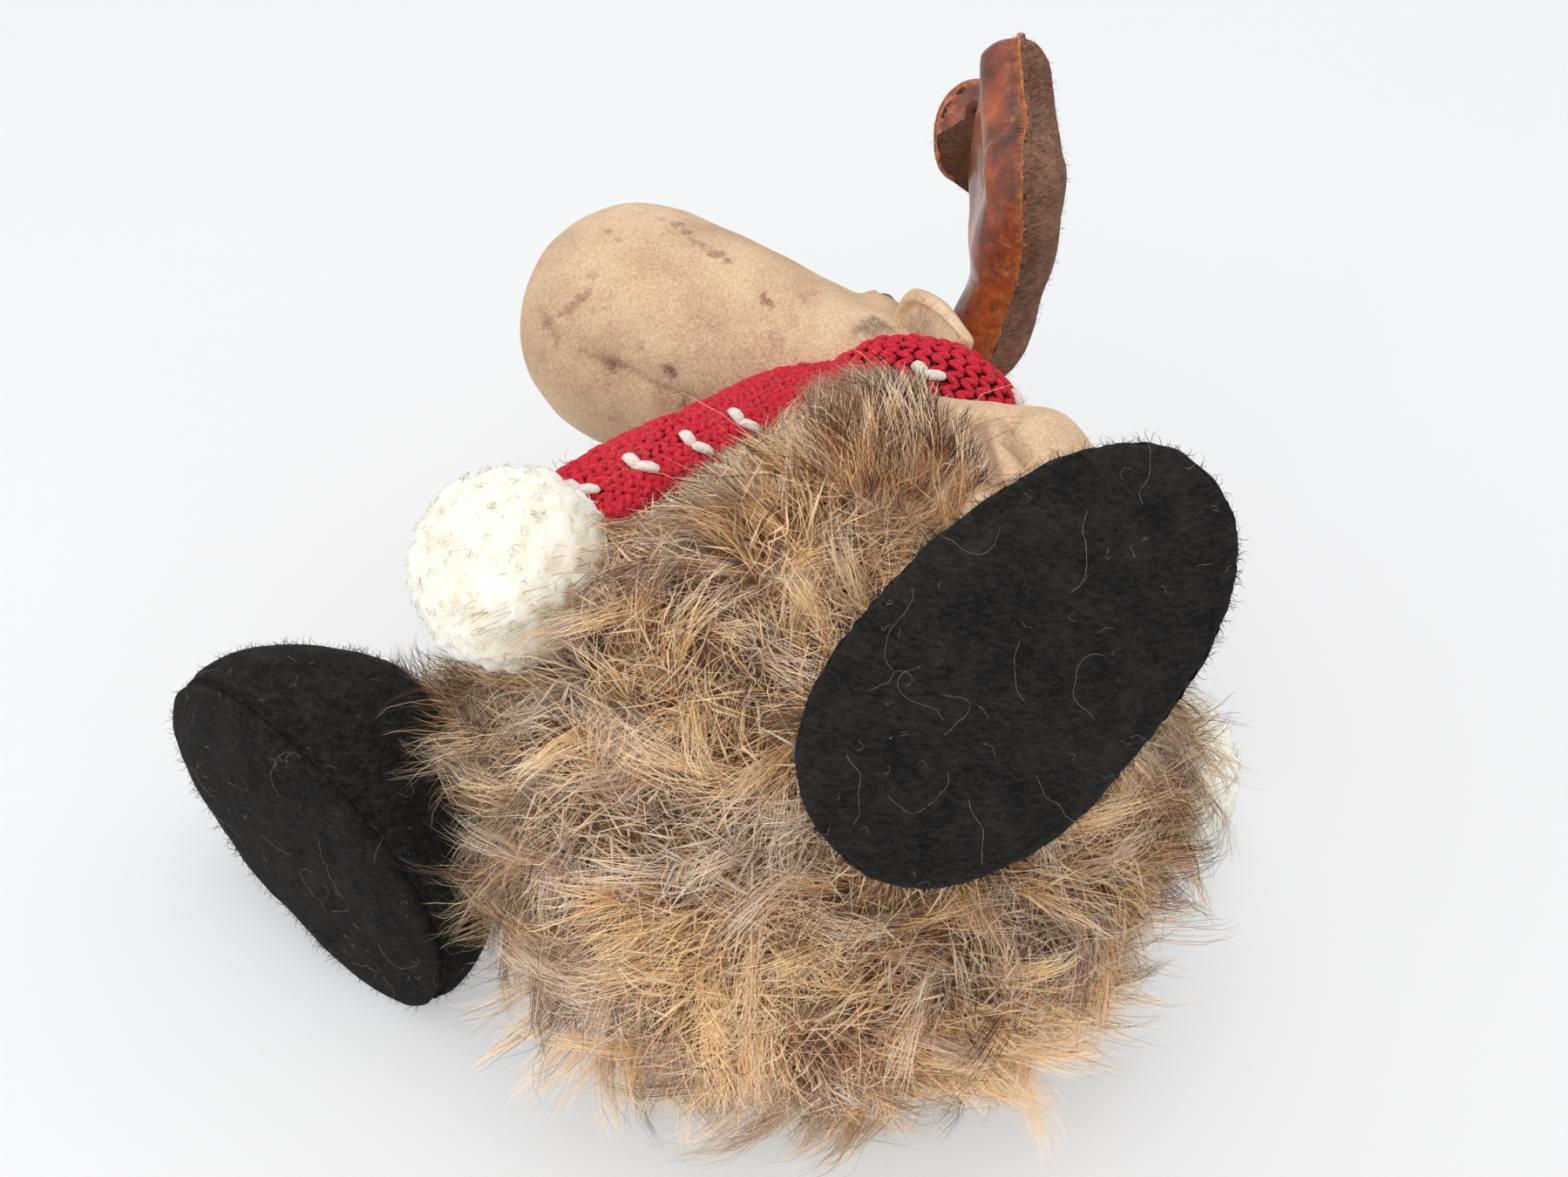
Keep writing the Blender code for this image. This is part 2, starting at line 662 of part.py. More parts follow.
def make_leg(label, hip, ankle, outward, boot_frame, body_cut, axis=None):
    """Thigh, shin and boot: the thigh turns at its hip seam, the shin unfolds at its knee seam."""
    knee = solve_knee(hip, ankle, outward)
    to_hip = (hip - knee).normalized()
    to_ankle = (ankle - knee).normalized()
    fold_normal = (to_ankle - to_hip).normalized()
    crest = -(to_ankle + to_hip).normalized()
    axis = axis or fold_normal.cross(crest)

    hip_out = (knee - hip).normalized()
    hip_side = (crest - hip_out * crest.dot(hip_out)).normalized()
    hip_at = on_rim(hip + hip_side * LEG_RADIUS, hip_out)
    hip_pivot = empty(f"hip_{label}", Matrix.Translation(hip_at), moose)
    thigh_mesh = limb("thigh", hip, knee, LEG_RADIUS, KNEE_RADIUS, hip_at)
    half_space_cut(thigh_mesh, knee - hip_at - fold_normal * GAP / 2, fold_normal)
    thigh = piece(f"thigh_{label}", thigh_mesh, TAN_VELVET, hip_pivot)
    apply_boolean(thigh, body_cut)

    knee_at = knee + crest * KNEE_RADIUS
    knee_pivot = empty(f"knee_{label}", Matrix.Translation(knee_at - hip_at), hip_pivot)
    shin_mesh = limb("shin", knee, ankle, KNEE_RADIUS, ANKLE_RADIUS, knee_at)
    half_space_cut(shin_mesh, knee - knee_at + fold_normal * GAP / 2, -fold_normal)
    shin = piece(f"shin_{label}", shin_mesh, TAN_VELVET, knee_pivot)
    boot_cut = make_boot(label, knee_pivot, Matrix.Translation(-knee_at) @ boot_frame)
    apply_boolean(shin, boot_cut)
    apply_boolean(shin, body_cut)
    joints[f"hip_{label}"] = (hip_pivot, axis)
    joints[f"knee_{label}"] = (knee_pivot, axis)


def boot_frame_at(sole_centre, toe, facing):
    """Boot axes: X to the toe and Z away from the ground the sole would stand on."""
    up = -facing.normalized()
    forward = (toe - up * toe.dot(up)).normalized()
    return Matrix.Translation(sole_centre) @ Matrix((forward, up.cross(forward), up)).transposed().to_4x4()


clear_scene()
parts = new_collection("plush moose")
cutters = new_collection("cutters")
joints = {}

moose = empty("moose", Matrix.Identity(4))
LEFT = Vector((0, 0, 1))
UP = BODY_AXIS.normalized()
body = empty("body_frame", frame_from(Vector((0, 0, 0)), UP, LEFT), moose)

ring_nest = math.sqrt((SHOULDER_RADIUS + SCARF_WIDTH * 0.42) ** 2 - SCARF_RING_RADIUS ** 2)
ring_height = BODY_RISE + ring_nest
head_nest = math.sqrt((NAPE_RADIUS + SCARF_WIDTH * 0.42) ** 2 - SCARF_RING_RADIUS ** 2)
head_height = ring_height + head_nest
head_centre = UP * head_height + LEFT * -HEAD_SAG
head = empty("head_frame", frame_from(head_centre, HEAD_AXIS, LEFT, "X"), moose)
LYING_CLUB = Matrix.Rotation(math.radians(90), 4, "Y")
bpy.context.view_layer.update()

body_fur, neck_low, table = make_body()
body_room = turned("body room", taper_profile(BODY_RADIUS + GAP, SHOULDER_RADIUS + GAP, BODY_RISE))
body_room_cut = cutter("body_room_cut", body_room, body)
head_room_cut = cutter("head_room_cut", head_form(-GAP, "head room"), head, LYING_CLUB)
neck_room = neck_tube("neck room", NECK_RADIUS + GAP, neck_low, head_height)
neck_room_cut = cutter("neck_room_cut", neck_room, body)

make_head(neck_low, head_height)
ear_rooms = make_eyes_and_ears(head_room_cut)
make_antler("left", 1, ANTLER_LEFT_AXIS, head_room_cut)
make_antler("right", -1, ANTLER_RIGHT_AXIS, head_room_cut)
ring_room_cut = make_scarf((body_room_cut, head_room_cut, neck_room_cut, *ear_rooms), ring_height)

ring_centre = UP * ring_height
ring_edge = SCARF_RING_RADIUS + SCARF_THICK * 0.35
front_start = ring_centre + (Vector((-0.72, 0, 0.69)).normalized()) * ring_edge
back_start = ring_centre + (Vector((0.97, 0, -0.24)).normalized()) * ring_edge
back_pompom = BACK_POMPOM_PLACE + Vector((0, 0, table + POMPOM_RADIUS))
dent = make_tail("front", front_start, FRONT_TAIL_ROUTE, FRONT_POMPOM_PLACE, FRONT_TAIL_LIFT,
                 ring_room_cut, body_room_cut)
apply_boolean(body_fur, dent)
body_fur.modifiers.move(len(body_fur.modifiers) - 1, 0)
make_tail("back", back_start, BACK_TAIL_ROUTE, back_pompom, BACK_TAIL_LIFT, ring_room_cut, body_room_cut)

body_turn = body.matrix_world.to_3x3()


def on_body(direction):
    """Where a ray from the body's centre leaves the fur."""
    local = (body_turn.inverted() @ direction.normalized())
    reach = hull_reach(BODY_RADIUS, SHOULDER_RADIUS, BODY_RISE, local)
    return direction.normalized() * reach


left_sole = on_body(LEFT_BOOT_DIRECTION)
left_sole = left_sole + LEFT_BOOT_DIRECTION.normalized() * (BOOT_HEIGHT + GAP)
left_frame = boot_frame_at(left_sole, LEFT_BOOT_TOE, LEFT_SOLE_FACING)
right_frame = boot_frame_at(RIGHT_BOOT_PLACE, RIGHT_BOOT_TOE, RIGHT_SOLE_FACING)
probe = half_boot("boot probe", 0)
right_low = min((right_frame @ vertex.co).z for vertex in probe.vertices)
right_frame = Matrix.Translation((0, 0, table - right_low)) @ right_frame
bpy.data.meshes.remove(probe)

ankle_spot = Vector((-ANKLE_BACK, 0, ANKLE_RISE))
make_leg("left", on_body(LEFT_HIP_DIRECTION), left_frame @ ankle_spot, LEFT_KNEE_OUTWARD, left_frame,
         body_room_cut)
make_leg("right", on_body(RIGHT_HIP_DIRECTION), right_frame @ ankle_spot, RIGHT_KNEE_OUTWARD, right_frame,
         body_room_cut, RIGHT_LEG_HINGE)

reach = [point for item in parts.objects if item.type == "MESH" for point in world_points(item)]
centre_x = (min(p.x for p in reach) + max(p.x for p in reach)) / 2
centre_y = (min(p.y for p in reach) + max(p.y for p in reach)) / 2
moose.location = (-centre_x, -centre_y, -table)
bpy.context.view_layer.update()
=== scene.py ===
import math

import bmesh
import bpy
import numpy as np
from mathutils import Matrix, Vector, kdtree, noise
from mathutils.bvhtree import BVHTree


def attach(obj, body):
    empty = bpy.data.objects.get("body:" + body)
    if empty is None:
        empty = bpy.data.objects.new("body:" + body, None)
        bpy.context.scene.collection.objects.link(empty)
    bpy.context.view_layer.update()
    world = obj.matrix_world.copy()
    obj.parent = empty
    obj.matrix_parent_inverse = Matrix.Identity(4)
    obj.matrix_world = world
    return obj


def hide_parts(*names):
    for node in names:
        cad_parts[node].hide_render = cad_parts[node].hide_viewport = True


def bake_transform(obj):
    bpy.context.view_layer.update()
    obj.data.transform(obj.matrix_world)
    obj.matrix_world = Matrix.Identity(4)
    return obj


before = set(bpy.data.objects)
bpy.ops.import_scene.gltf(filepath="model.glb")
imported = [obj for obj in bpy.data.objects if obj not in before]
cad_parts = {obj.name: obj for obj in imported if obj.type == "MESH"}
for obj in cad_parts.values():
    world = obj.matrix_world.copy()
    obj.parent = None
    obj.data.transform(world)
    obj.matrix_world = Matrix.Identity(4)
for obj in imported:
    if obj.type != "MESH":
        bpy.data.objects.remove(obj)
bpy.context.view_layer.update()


def place(origin, forward, left, up):
    """A piece's own frame in the row frame, from three of its axes."""
    found = Matrix((forward, left, up)).transposed().to_4x4()
    found.translation = Vector(origin)
    return found


# Where the model's pieces stand, as the CAD gives them
BODY = place((0.02923, -0.05268, 0.07708), (-0.97928, 0.20251, 0.0), (-0.02451, -0.1185, 0.99265),
             (0.20102, 0.97208, 0.12101))
HEAD = place((0.05739, 0.0835, 0.08803), (-0.88732, 0.46017, 0.03001), (0.02664, -0.01382, 0.99955),
             (0.46038, 0.88772, 0.0))
ANTLERS = {
    "left": place((0.07213, 0.08812, 0.09339), (0.02391, -0.91687, 0.39847), (0.08976, 0.39894, 0.91257),
                  (-0.99568, 0.01395, 0.09184)),
    "right": place((0.07171, 0.08734, 0.08147), (0.03501, 0.81133, 0.58354), (0.06012, 0.58113, -0.81158),
                   (-0.99758, 0.0635, -0.02843))}
EARS = {
    "left": place((0.04851, 0.09136, 0.10479), (0.6472, -0.65194, 0.39511), (0.35518, 0.71648, 0.60042),
                  (-0.67453, -0.24826, 0.69526)),
    "right": place((0.04764, 0.09181, 0.072), (0.62476, -0.6403, -0.44687), (0.32322, 0.73305, -0.59847),
                   (0.71078, 0.22946, 0.66494))}
BOOTS = {
    "left": place((0.06617, -0.13064, 0.16657), (-0.69685, -0.3917, -0.6008), (-0.71328, 0.46613, 0.52341),
                  (0.07503, 0.79328, -0.60421)),
    "right": place((-0.10077, -0.02918, 0.03372), (0.68322, -0.66511, -0.30138), (-0.20123, 0.22525, -0.95329),
                   (0.70193, 0.71196, 0.02006))}
BODY_CENTRE = BODY.translation
LEGS = {
    "left": [BODY_CENTRE + Vector(p) for p in ((0.0188, 0.0094, 0.0751), (0.0418, -0.0087, 0.0853),
                                               (0.0465, -0.0471, 0.0750))],
    "right": [BODY_CENTRE + Vector(p) for p in ((-0.0585, 0.0328, -0.0398), (-0.0734, 0.0600, -0.0398),
                                                (-0.1130, 0.0544, -0.0397))]}
POMPOMS = {"front": Vector((-0.04317, -0.04868, 0.13078)), "back": Vector((0.11473, 0.00832, 0.0238))}
TAIL_ROUTES = {
    "front": [BODY_CENTRE + Vector(p) for p in (
        (0.0037, 0.1156, 0.0337), (-0.009, 0.099, 0.0445), (-0.0240, 0.0710, 0.0545),
        (-0.0415, 0.0465, 0.0610), (-0.0590, 0.0240, 0.0610), (-0.0724, 0.0040, 0.0537))],
    "back": [BODY_CENTRE + Vector(p) for p in (
        (0.0510, 0.1156, 0.0077), (0.0680, 0.1100, -0.0140), (0.0800, 0.0930, -0.0360),
        (0.0855, 0.0610, -0.0533))]}

# Sizes of the real cloth, yarn and pile, in metres
BODY_RADIUS = 0.078
SHOULDER_RADIUS = 0.034
BODY_RISE = 0.080
SKIN_DEPTH = 0.0060
RING_HEIGHT = 0.11888
RING_RADIUS = 0.0225
NAPE_RADIUS = 0.0200
MUZZLE_RADIUS = 0.0338
MUZZLE_REACH = 0.088
BOOT_HALF_LENGTH = 0.054
BOOT_HALF_WIDTH = 0.030
BOOT_HEIGHT = 0.046
TOE_DROP = 0.22
TOE_SPREAD = 0.08
BOOT_STITCHES = 66
POMPOM_RADIUS = 0.0238

# How the fur keeps clear: off its backing, off the table, and how far up the body it grows
PILE_STANDS_OFF = 0.004
ROOT_CLEARANCE = 0.003
LYING_FUR = 0.0012
FUR_TOP = 0.108
PRESSED_TOP = 0.100
FLOOR_CLEARANCE = 0.0004

# How fine the meshes are
MESH_SPACING = 0.003
ROOT_SPACING = 0.002
SHORTEST = 1e-9

SEED = 11
noise.seed_set(SEED)  # without it smooth_vectors gives another pattern each run


def linear(*shown):
    """Linear colour from the shown one, each channel from 0 to 1."""
    return tuple(c / 12.92 if c <= 0.04045 else ((c + 0.055) / 1.055) ** 2.4 for c in shown) + (1.0,)


class Nodes:
    """A short way to write a tree's nodes: add makes one, and sets or links its inputs."""

    def __init__(self, tree):
        self.tree = tree

    def add(self, kind, inputs=None, **settings):
        node = self.tree.nodes.new(kind)
        for key, value in settings.items():
            setattr(node, key, value)
        for key, value in (inputs or {}).items():
            socket = node.inputs[key]
            if isinstance(value, bpy.types.NodeSocket):
                self.tree.links.new(value, socket)
            else:
                socket.default_value = value
        return node

    def noise(self, vector, scale, detail=4.0, rough=0.55):
        inputs = {"Vector": vector, "Scale": scale, "Detail": detail, "Roughness": rough}
        return self.add("ShaderNodeTexNoise", inputs).outputs[0]

    def stretched(self, vector, height):
        return self.add("ShaderNodeMapping", {0: vector, "Scale": (1.0, 1.0, height)}).outputs[0]

    def ramp(self, value, stops):
        node = self.add("ShaderNodeValToRGB", {0: value})
        elements = node.color_ramp.elements
        while len(elements) < len(stops):
            elements.new(0.5)
        for element, (at, colour) in zip(elements, stops):
            element.position = at
            element.color = colour
        return node.outputs[0]

    def between(self, value, low, high, new_low=0.0, new_high=1.0):
        inputs = {0: value, 1: low, 2: high, 3: new_low, 4: new_high}
        return self.add("ShaderNodeMapRange", inputs).outputs[0]

    def maths(self, operation, first, second):
        return self.add("ShaderNodeMath", {0: first, 1: second}, operation=operation).outputs[0]

    def vectors(self, operation, inputs):
        return self.add("ShaderNodeVectorMath", inputs, operation=operation).outputs

    def blend(self, share, first, second, mode="MIX"):
        node = self.add("ShaderNodeMix", {0: share, 6: first, 7: second}, data_type="RGBA", blend_type=mode)
        return node.outputs[2]

    def bump(self, height, distance, strength=1.0, under=None):
        inputs = {"Height": height, "Distance": distance, "Strength": strength}
        if under:
            inputs["Normal"] = under
        return self.add("ShaderNodeBump", inputs).outputs[0]


def finish(name, sheen=0.0, sheen_tint=(1, 1, 1, 1), sheen_roughness=0.4, coat=0.0, specular=0.5):
    """A new material: its nodes, its shader, and Object coordinates."""
    made = bpy.data.materials.new(name)
    made.use_nodes = True
    nodes = Nodes(made.node_tree)
    shader = made.node_tree.nodes["Principled BSDF"]
    shader.inputs["Sheen Weight"].default_value = sheen
    shader.inputs["Sheen Tint"].default_value = sheen_tint
    shader.inputs["Sheen Roughness"].default_value = sheen_roughness
    shader.inputs["Coat Weight"].default_value = coat
    shader.inputs["Specular IOR Level"].default_value = specular
    at = nodes.add("ShaderNodeTexCoord").outputs["Object"]
    return made, nodes, shader, at


def join(nodes, shader, colour, roughness, normal=None):
    """A shader's colour, roughness and normal: links, or plain values."""
    for name, value in (("Base Color", colour), ("Roughness", roughness), ("Normal", normal)):
        if isinstance(value, bpy.types.NodeSocket):
            nodes.tree.links.new(value, shader.inputs[name])
        elif value is not None:
            shader.inputs[name].default_value = value


def attribute(nodes, name):
    return nodes.add("ShaderNodeAttribute", attribute_name=name, attribute_type="GEOMETRY")


def mottled(nodes, value, low, high, dark, light):
    """A ramp between two colours."""
    return nodes.ramp(value, [(low, linear(*dark)), (high, linear(*light))])


def fur_finish():
    """Fur by each hair's marks: red how far along it is, green its tone, blue its dark tip, alpha its shade."""
    made, nodes, shader, at = finish("shaggy_fur", sheen=0.12, sheen_tint=linear(0.95, 0.88, 0.75), specular=0.3)
    strand = attribute(nodes, "strand")
    parts = nodes.add("ShaderNodeSeparateColor", {0: strand.outputs["Color"]})
    along, tone, dark = parts.outputs[0], parts.outputs[1], parts.outputs[2]
    # Each ramp darkens toward the root: painted shade deep in the pile.
    grey = nodes.ramp(along, [(0.0, linear(0.44, 0.33, 0.25)), (0.25, linear(0.69, 0.58, 0.49)),
                              (0.60, linear(0.86, 0.78, 0.70)), (1.0, linear(0.95, 0.90, 0.83))])
    golden = nodes.ramp(along, [(0.0, linear(0.50, 0.33, 0.19)), (0.25, linear(0.80, 0.60, 0.39)),
                                (0.60, linear(0.94, 0.79, 0.57)), (1.0, linear(0.98, 0.89, 0.73))])
    cream = nodes.ramp(along, [(0.0, linear(0.62, 0.42, 0.25)), (0.25, linear(0.91, 0.74, 0.52)),
                               (1.0, linear(1.0, 0.91, 0.77))])
    brown = nodes.ramp(along, [(0.32, linear(0.80, 0.55, 0.33)), (0.47, linear(0.54, 0.31, 0.17)),
                               (0.64, linear(0.27, 0.14, 0.09)), (1.0, linear(0.14, 0.075, 0.055))])
    colour = nodes.blend(nodes.between(tone, 0.0, 0.5), grey, golden)
    colour = nodes.blend(nodes.between(tone, 0.5, 1.0), colour, cream)
    colour = nodes.blend(nodes.maths("MULTIPLY", dark, nodes.between(along, 0.30, 0.50)), colour, brown)
    shade = nodes.between(strand.outputs["Alpha"], 0.0, 1.0, 0.60, 1.50)
    grey_shade = nodes.add("ShaderNodeCombineColor", {0: shade, 1: shade, 2: shade}).outputs[0]
    colour = nodes.blend(1.0, colour, grey_shade, "MULTIPLY")
    join(nodes, shader, colour, nodes.between(along, 0.0, 1.0, 0.75, 0.48))
    return made


def skin_finish():
    """The woven backing under the fur, in browns that paint the shade of the deep pile where it shows between the
    hairs.
    """
    made, nodes, shader, at = finish("fur_backing", sheen=0.2)
    tone = nodes.noise(at, 90.0)
    colour = mottled(nodes, tone, 0.3, 0.7, (0.38, 0.27, 0.18), (0.60, 0.46, 0.31))
    join(nodes, shader, colour, 0.95, nodes.bump(nodes.noise(at, 900.0), 0.0006))
    return made


def velvet_finish(name, stains=()):
    """Short-pile velvet, rubbed and stained, darker along seams and with painted shade in creases, folds, hollows and
    dimples; each stain is a place in the row frame, size, strength and colour.
    """
    made, nodes, shader, at = finish(name, sheen=0.35, sheen_tint=linear(1.0, 0.92, 0.80), sheen_roughness=0.35,
                                     specular=0.25)
    cloud = nodes.noise(at, 30.0, 5.0, 0.6)
    fine = nodes.noise(at, 170.0, 5.0, 0.75)
    colour = nodes.ramp(cloud, [(0.28, linear(0.69, 0.53, 0.40)), (0.44, linear(0.80, 0.65, 0.50)),
                                (0.58, linear(0.87, 0.74, 0.58)), (0.72, linear(0.94, 0.84, 0.71))])
    rub = nodes.maths("MULTIPLY", nodes.between(nodes.noise(at, 48.0, 8.0, 0.75), 0.52, 0.64),
                      nodes.between(fine, 0.40, 0.60))
    colour = nodes.blend(nodes.maths("MULTIPLY", rub, 0.65), colour, linear(0.66, 0.42, 0.31))
    # The seam attribute darkens a real seam's line, and also paints shade in creases, folds and the ear's hollow.
    seam = attribute(nodes, "seam").outputs["Fac"]
    colour = nodes.blend(nodes.maths("MULTIPLY", seam, nodes.between(fine, 0.30, 0.60, 0.45, 1.0)), colour,
                         linear(0.42, 0.25, 0.17))
    ragged = nodes.add("ShaderNodeTexNoise", {"Vector": at, "Scale": 240.0, "Detail": 4.0}).outputs["Color"]
    warped = nodes.vectors("SUBTRACT", {0: ragged, 1: (0.5, 0.5, 0.5)})[0]
    shifted = nodes.vectors("SCALE", {0: warped, "Scale": 0.0075})[0]
    spot_at = nodes.vectors("ADD", {0: at, 1: shifted})[0]
    for spot, size, strength, tint in stains:
        far = nodes.vectors("DISTANCE", {0: spot_at, 1: spot})["Value"]
        near = nodes.between(far, size, size * 0.45, 0.0, strength)
        colour = nodes.blend(nodes.maths("MULTIPLY", near, nodes.between(fine, 0.38, 0.56, 0.45, 1.0)), colour, tint)
    grain = nodes.noise(at, 1300.0, 3.0, 0.7)
    pile = mottled(nodes, grain, 0.34, 0.66, (0.50, 0.35, 0.26), (1, 0.93, 0.84))
    colour = nodes.blend(0.26, colour, pile)
    height = nodes.maths("ADD", nodes.maths("MULTIPLY", grain, 0.5), fine)
    join(nodes, shader, colour, nodes.between(fine, 0.3, 0.7, 0.72, 0.92), nodes.bump(height, 0.0008, 0.8))
    return made


def felt_finish(name, dark, light, fibre):
    """Matted wool felt, from a dark to a light fibre; fibre is how fine they are."""
    made, nodes, shader, at = finish(name, sheen=0.35, sheen_tint=light, sheen_roughness=0.5, specular=0.2)
    fibres = nodes.noise(nodes.stretched(at, 3.0), fibre, 5.0, 0.75)
    cloud = nodes.noise(at, 120.0, 3.0)
    mixed = nodes.maths("ADD", nodes.maths("MULTIPLY", fibres, 0.7), nodes.maths("MULTIPLY", cloud, 0.3))
    colour = nodes.ramp(mixed, [(0.41, dark), (0.66, light)])
    join(nodes, shader, colour, 0.95, nodes.bump(fibres, 0.0011, 0.9))
    return made


def leather_finish():
    """Glossy, creased and unevenly dyed leather, raw along its seam."""
    made, nodes, shader, at = finish("chestnut_leather", coat=0.50, specular=0.45)
    shader.inputs["Coat Roughness"].default_value = 0.16
    cloud = nodes.noise(at, 42.0, 6.0, 0.62)
    streak = nodes.noise(nodes.stretched(at, 0.35), 110.0, 5.0, 0.7)
    colour = nodes.ramp(cloud, [(0.30, linear(0.15, 0.07, 0.05)), (0.41, linear(0.32, 0.14, 0.08)),
                                (0.50, linear(0.50, 0.21, 0.08)), (0.60, linear(0.66, 0.31, 0.10)),
                                (0.74, linear(0.80, 0.50, 0.26))])
    colour = nodes.blend(nodes.between(streak, 0.52, 0.66, 0.0, 0.75), colour, linear(0.22, 0.10, 0.07))
    scuff = nodes.between(nodes.noise(at, 75.0, 7.0, 0.7), 0.56, 0.70, 0.0, 0.7)
    colour = nodes.blend(scuff, colour, linear(0.82, 0.62, 0.40))
    seam = attribute(nodes, "seam").outputs["Fac"]
    raw = mottled(nodes, nodes.noise(at, 700.0, 3.0), 0.3, 0.7, (0.50, 0.22, 0.06), (0.78, 0.45, 0.18))
    colour = nodes.blend(nodes.between(seam, 0.35, 0.85), colour, raw)
    wrinkle = nodes.noise(nodes.stretched(at, 0.5), 260.0, 6.0, 0.65)
    grain = nodes.add("ShaderNodeTexVoronoi", {"Vector": at, "Scale": 1700.0}).outputs[0]
    normal = nodes.bump(grain, 0.00012, 0.6, nodes.bump(wrinkle, 0.0026, 0.75))
    join(nodes, shader, colour, nodes.between(cloud, 0.3, 0.7, 0.26, 0.42), normal)
    return made


def yarn_finish(name, low, high, fibre=900.0, sheen=0.5):
    """Spun fibre, from a low to a high colour."""
    made, nodes, shader, at = finish(name, sheen=sheen, sheen_tint=high, specular=0.2)
    strands = nodes.noise(at, fibre, 4.0, 0.7)
    colour = nodes.ramp(strands, [(0.32, low), (0.68, high)])
    join(nodes, shader, colour, 0.9, nodes.bump(strands, 0.0006, 0.8))
    return made


def wool_finish(name, soft):
    """Creamy white wool; soft is how much light goes into it."""
    made, nodes, shader, at = finish(name, sheen=0.3, specular=0.2)
    cloud = nodes.noise(at, 120.0, 4.0, 0.6)
    colour = nodes.ramp(cloud, [(0.30, linear(0.945, 0.915, 0.840)), (0.50, linear(0.955, 0.935, 0.880)),
                                (0.70, linear(0.965, 0.950, 0.910))])
    shader.inputs["Subsurface Weight"].default_value = soft
    shader.inputs["Subsurface Scale"].default_value = 0.012
    shader.inputs["Subsurface Radius"].default_value = (1.0, 0.95, 0.85)
    join(nodes, shader, colour, 0.95, nodes.bump(nodes.noise(at, 620.0, 5.0, 0.75), 0.0005, 0.4))
    return made


def bead_finish():
    """A shiny black bead."""
    made, nodes, shader, at = finish("black_bead", coat=0.6)
    tone = nodes.noise(at, 300.0)
    colour = mottled(nodes, tone, 0.3, 0.7, (0.03, 0.03, 0.03), (0.07, 0.06, 0.06))
    join(nodes, shader, colour, nodes.between(tone, 0.3, 0.7, 0.06, 0.12))
    return made


def batting_finish(name, low, high):
    """Loose filling, or a sack of it."""
    made, nodes, shader, at = finish(name, sheen=0.3, specular=0.2)
    cloud = nodes.noise(at, 200.0, 5.0, 0.7)
    join(nodes, shader, nodes.ramp(cloud, [(0.3, low), (0.7, high)]), 0.95, nodes.bump(cloud, 0.002, 0.8))
    return made


def mesh_from(name, points, faces):
    mesh = bpy.data.meshes.new(name)
    mesh.from_pydata([tuple(p) for p in points], [], faces)
    mesh.shade_smooth()
    return mesh


def close_faces(work):
    """A bmesh's big faces cut into triangles, and all of its faces turned outward."""
    bmesh.ops.triangulate(work, faces=[f for f in work.faces if len(f.verts) > 4])
    bmesh.ops.recalc_face_normals(work, faces=work.faces[:])


def mesh_of(work, name):
    """A mesh from a bmesh, which is freed."""
    mesh = bpy.data.meshes.new(name)
    work.to_mesh(mesh)
    work.free()
    return mesh


def add_object(name, data):
    """A new object that shows the data in the scene."""
    item = bpy.data.objects.new(name, data)
    bpy.context.scene.collection.objects.link(item)
    return item


def applied(carrier, name):
    """The plain mesh that an object's modifiers make; the object is removed."""
    bpy.context.view_layer.update()
    made = bpy.data.meshes.new_from_object(carrier.evaluated_get(bpy.context.evaluated_depsgraph_get()))
    bpy.data.objects.remove(carrier)
    made.name = name
    return made


def surface_tree(mesh):
    """A mesh's faces, ready for rays and nearest points."""
    corners = [vertex.co.copy() for vertex in mesh.vertices]
    return BVHTree.FromPolygons(corners, [tuple(face.vertices) for face in mesh.polygons])


def mark_seam_and_painted_shade(mesh, values):
    """How dark each vertex is, from 0 to 1: along a real seam, and as painted shade in a crease, fold or hollow."""
    mesh.attributes.new("seam", "FLOAT", "POINT").data.foreach_set("value", values)


def show(name, mesh, look, body, stands_for=()):
    """A finished piece: its mesh in the row frame, its material and body; it rests flat on the table."""
    at, _ = vertex_arrays(mesh)
    if at[:, 2].min() < FLOOR_CLEARANCE:
        at[:, 2] = np.maximum(at[:, 2], FLOOR_CLEARANCE)
        set_points(mesh, at)
    piece = add_object(name, mesh)
    mesh.materials.clear()
    mesh.materials.append(look)
    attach(piece, body)
    if stands_for:
        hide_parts(*stands_for)
    return piece


def lathe(profile, around):
    """Points and faces of a profile of radius and height turned round Z, poles closed."""
    points = []
    faces = []
    rings = []
    for radius, height in profile:
        if radius < 1e-7:
            rings.append([len(points)])
            points.append((0.0, 0.0, height))
            continue
        rings.append(list(range(len(points), len(points) + around)))
        for j in range(around):
            angle = 2 * math.pi * j / around
            points.append((radius * math.cos(angle), radius * math.sin(angle), height))
    for upper, lower in zip(rings, rings[1:]):
        for j in range(around):
            k = (j + 1) % around
            if len(upper) == 1:
                faces.append((upper[0], lower[j], lower[k]))
            elif len(lower) == 1:
                faces.append((upper[k], upper[j], lower[0]))
            else:
                faces.append((upper[j], lower[j], lower[k], upper[k]))
    return points, faces


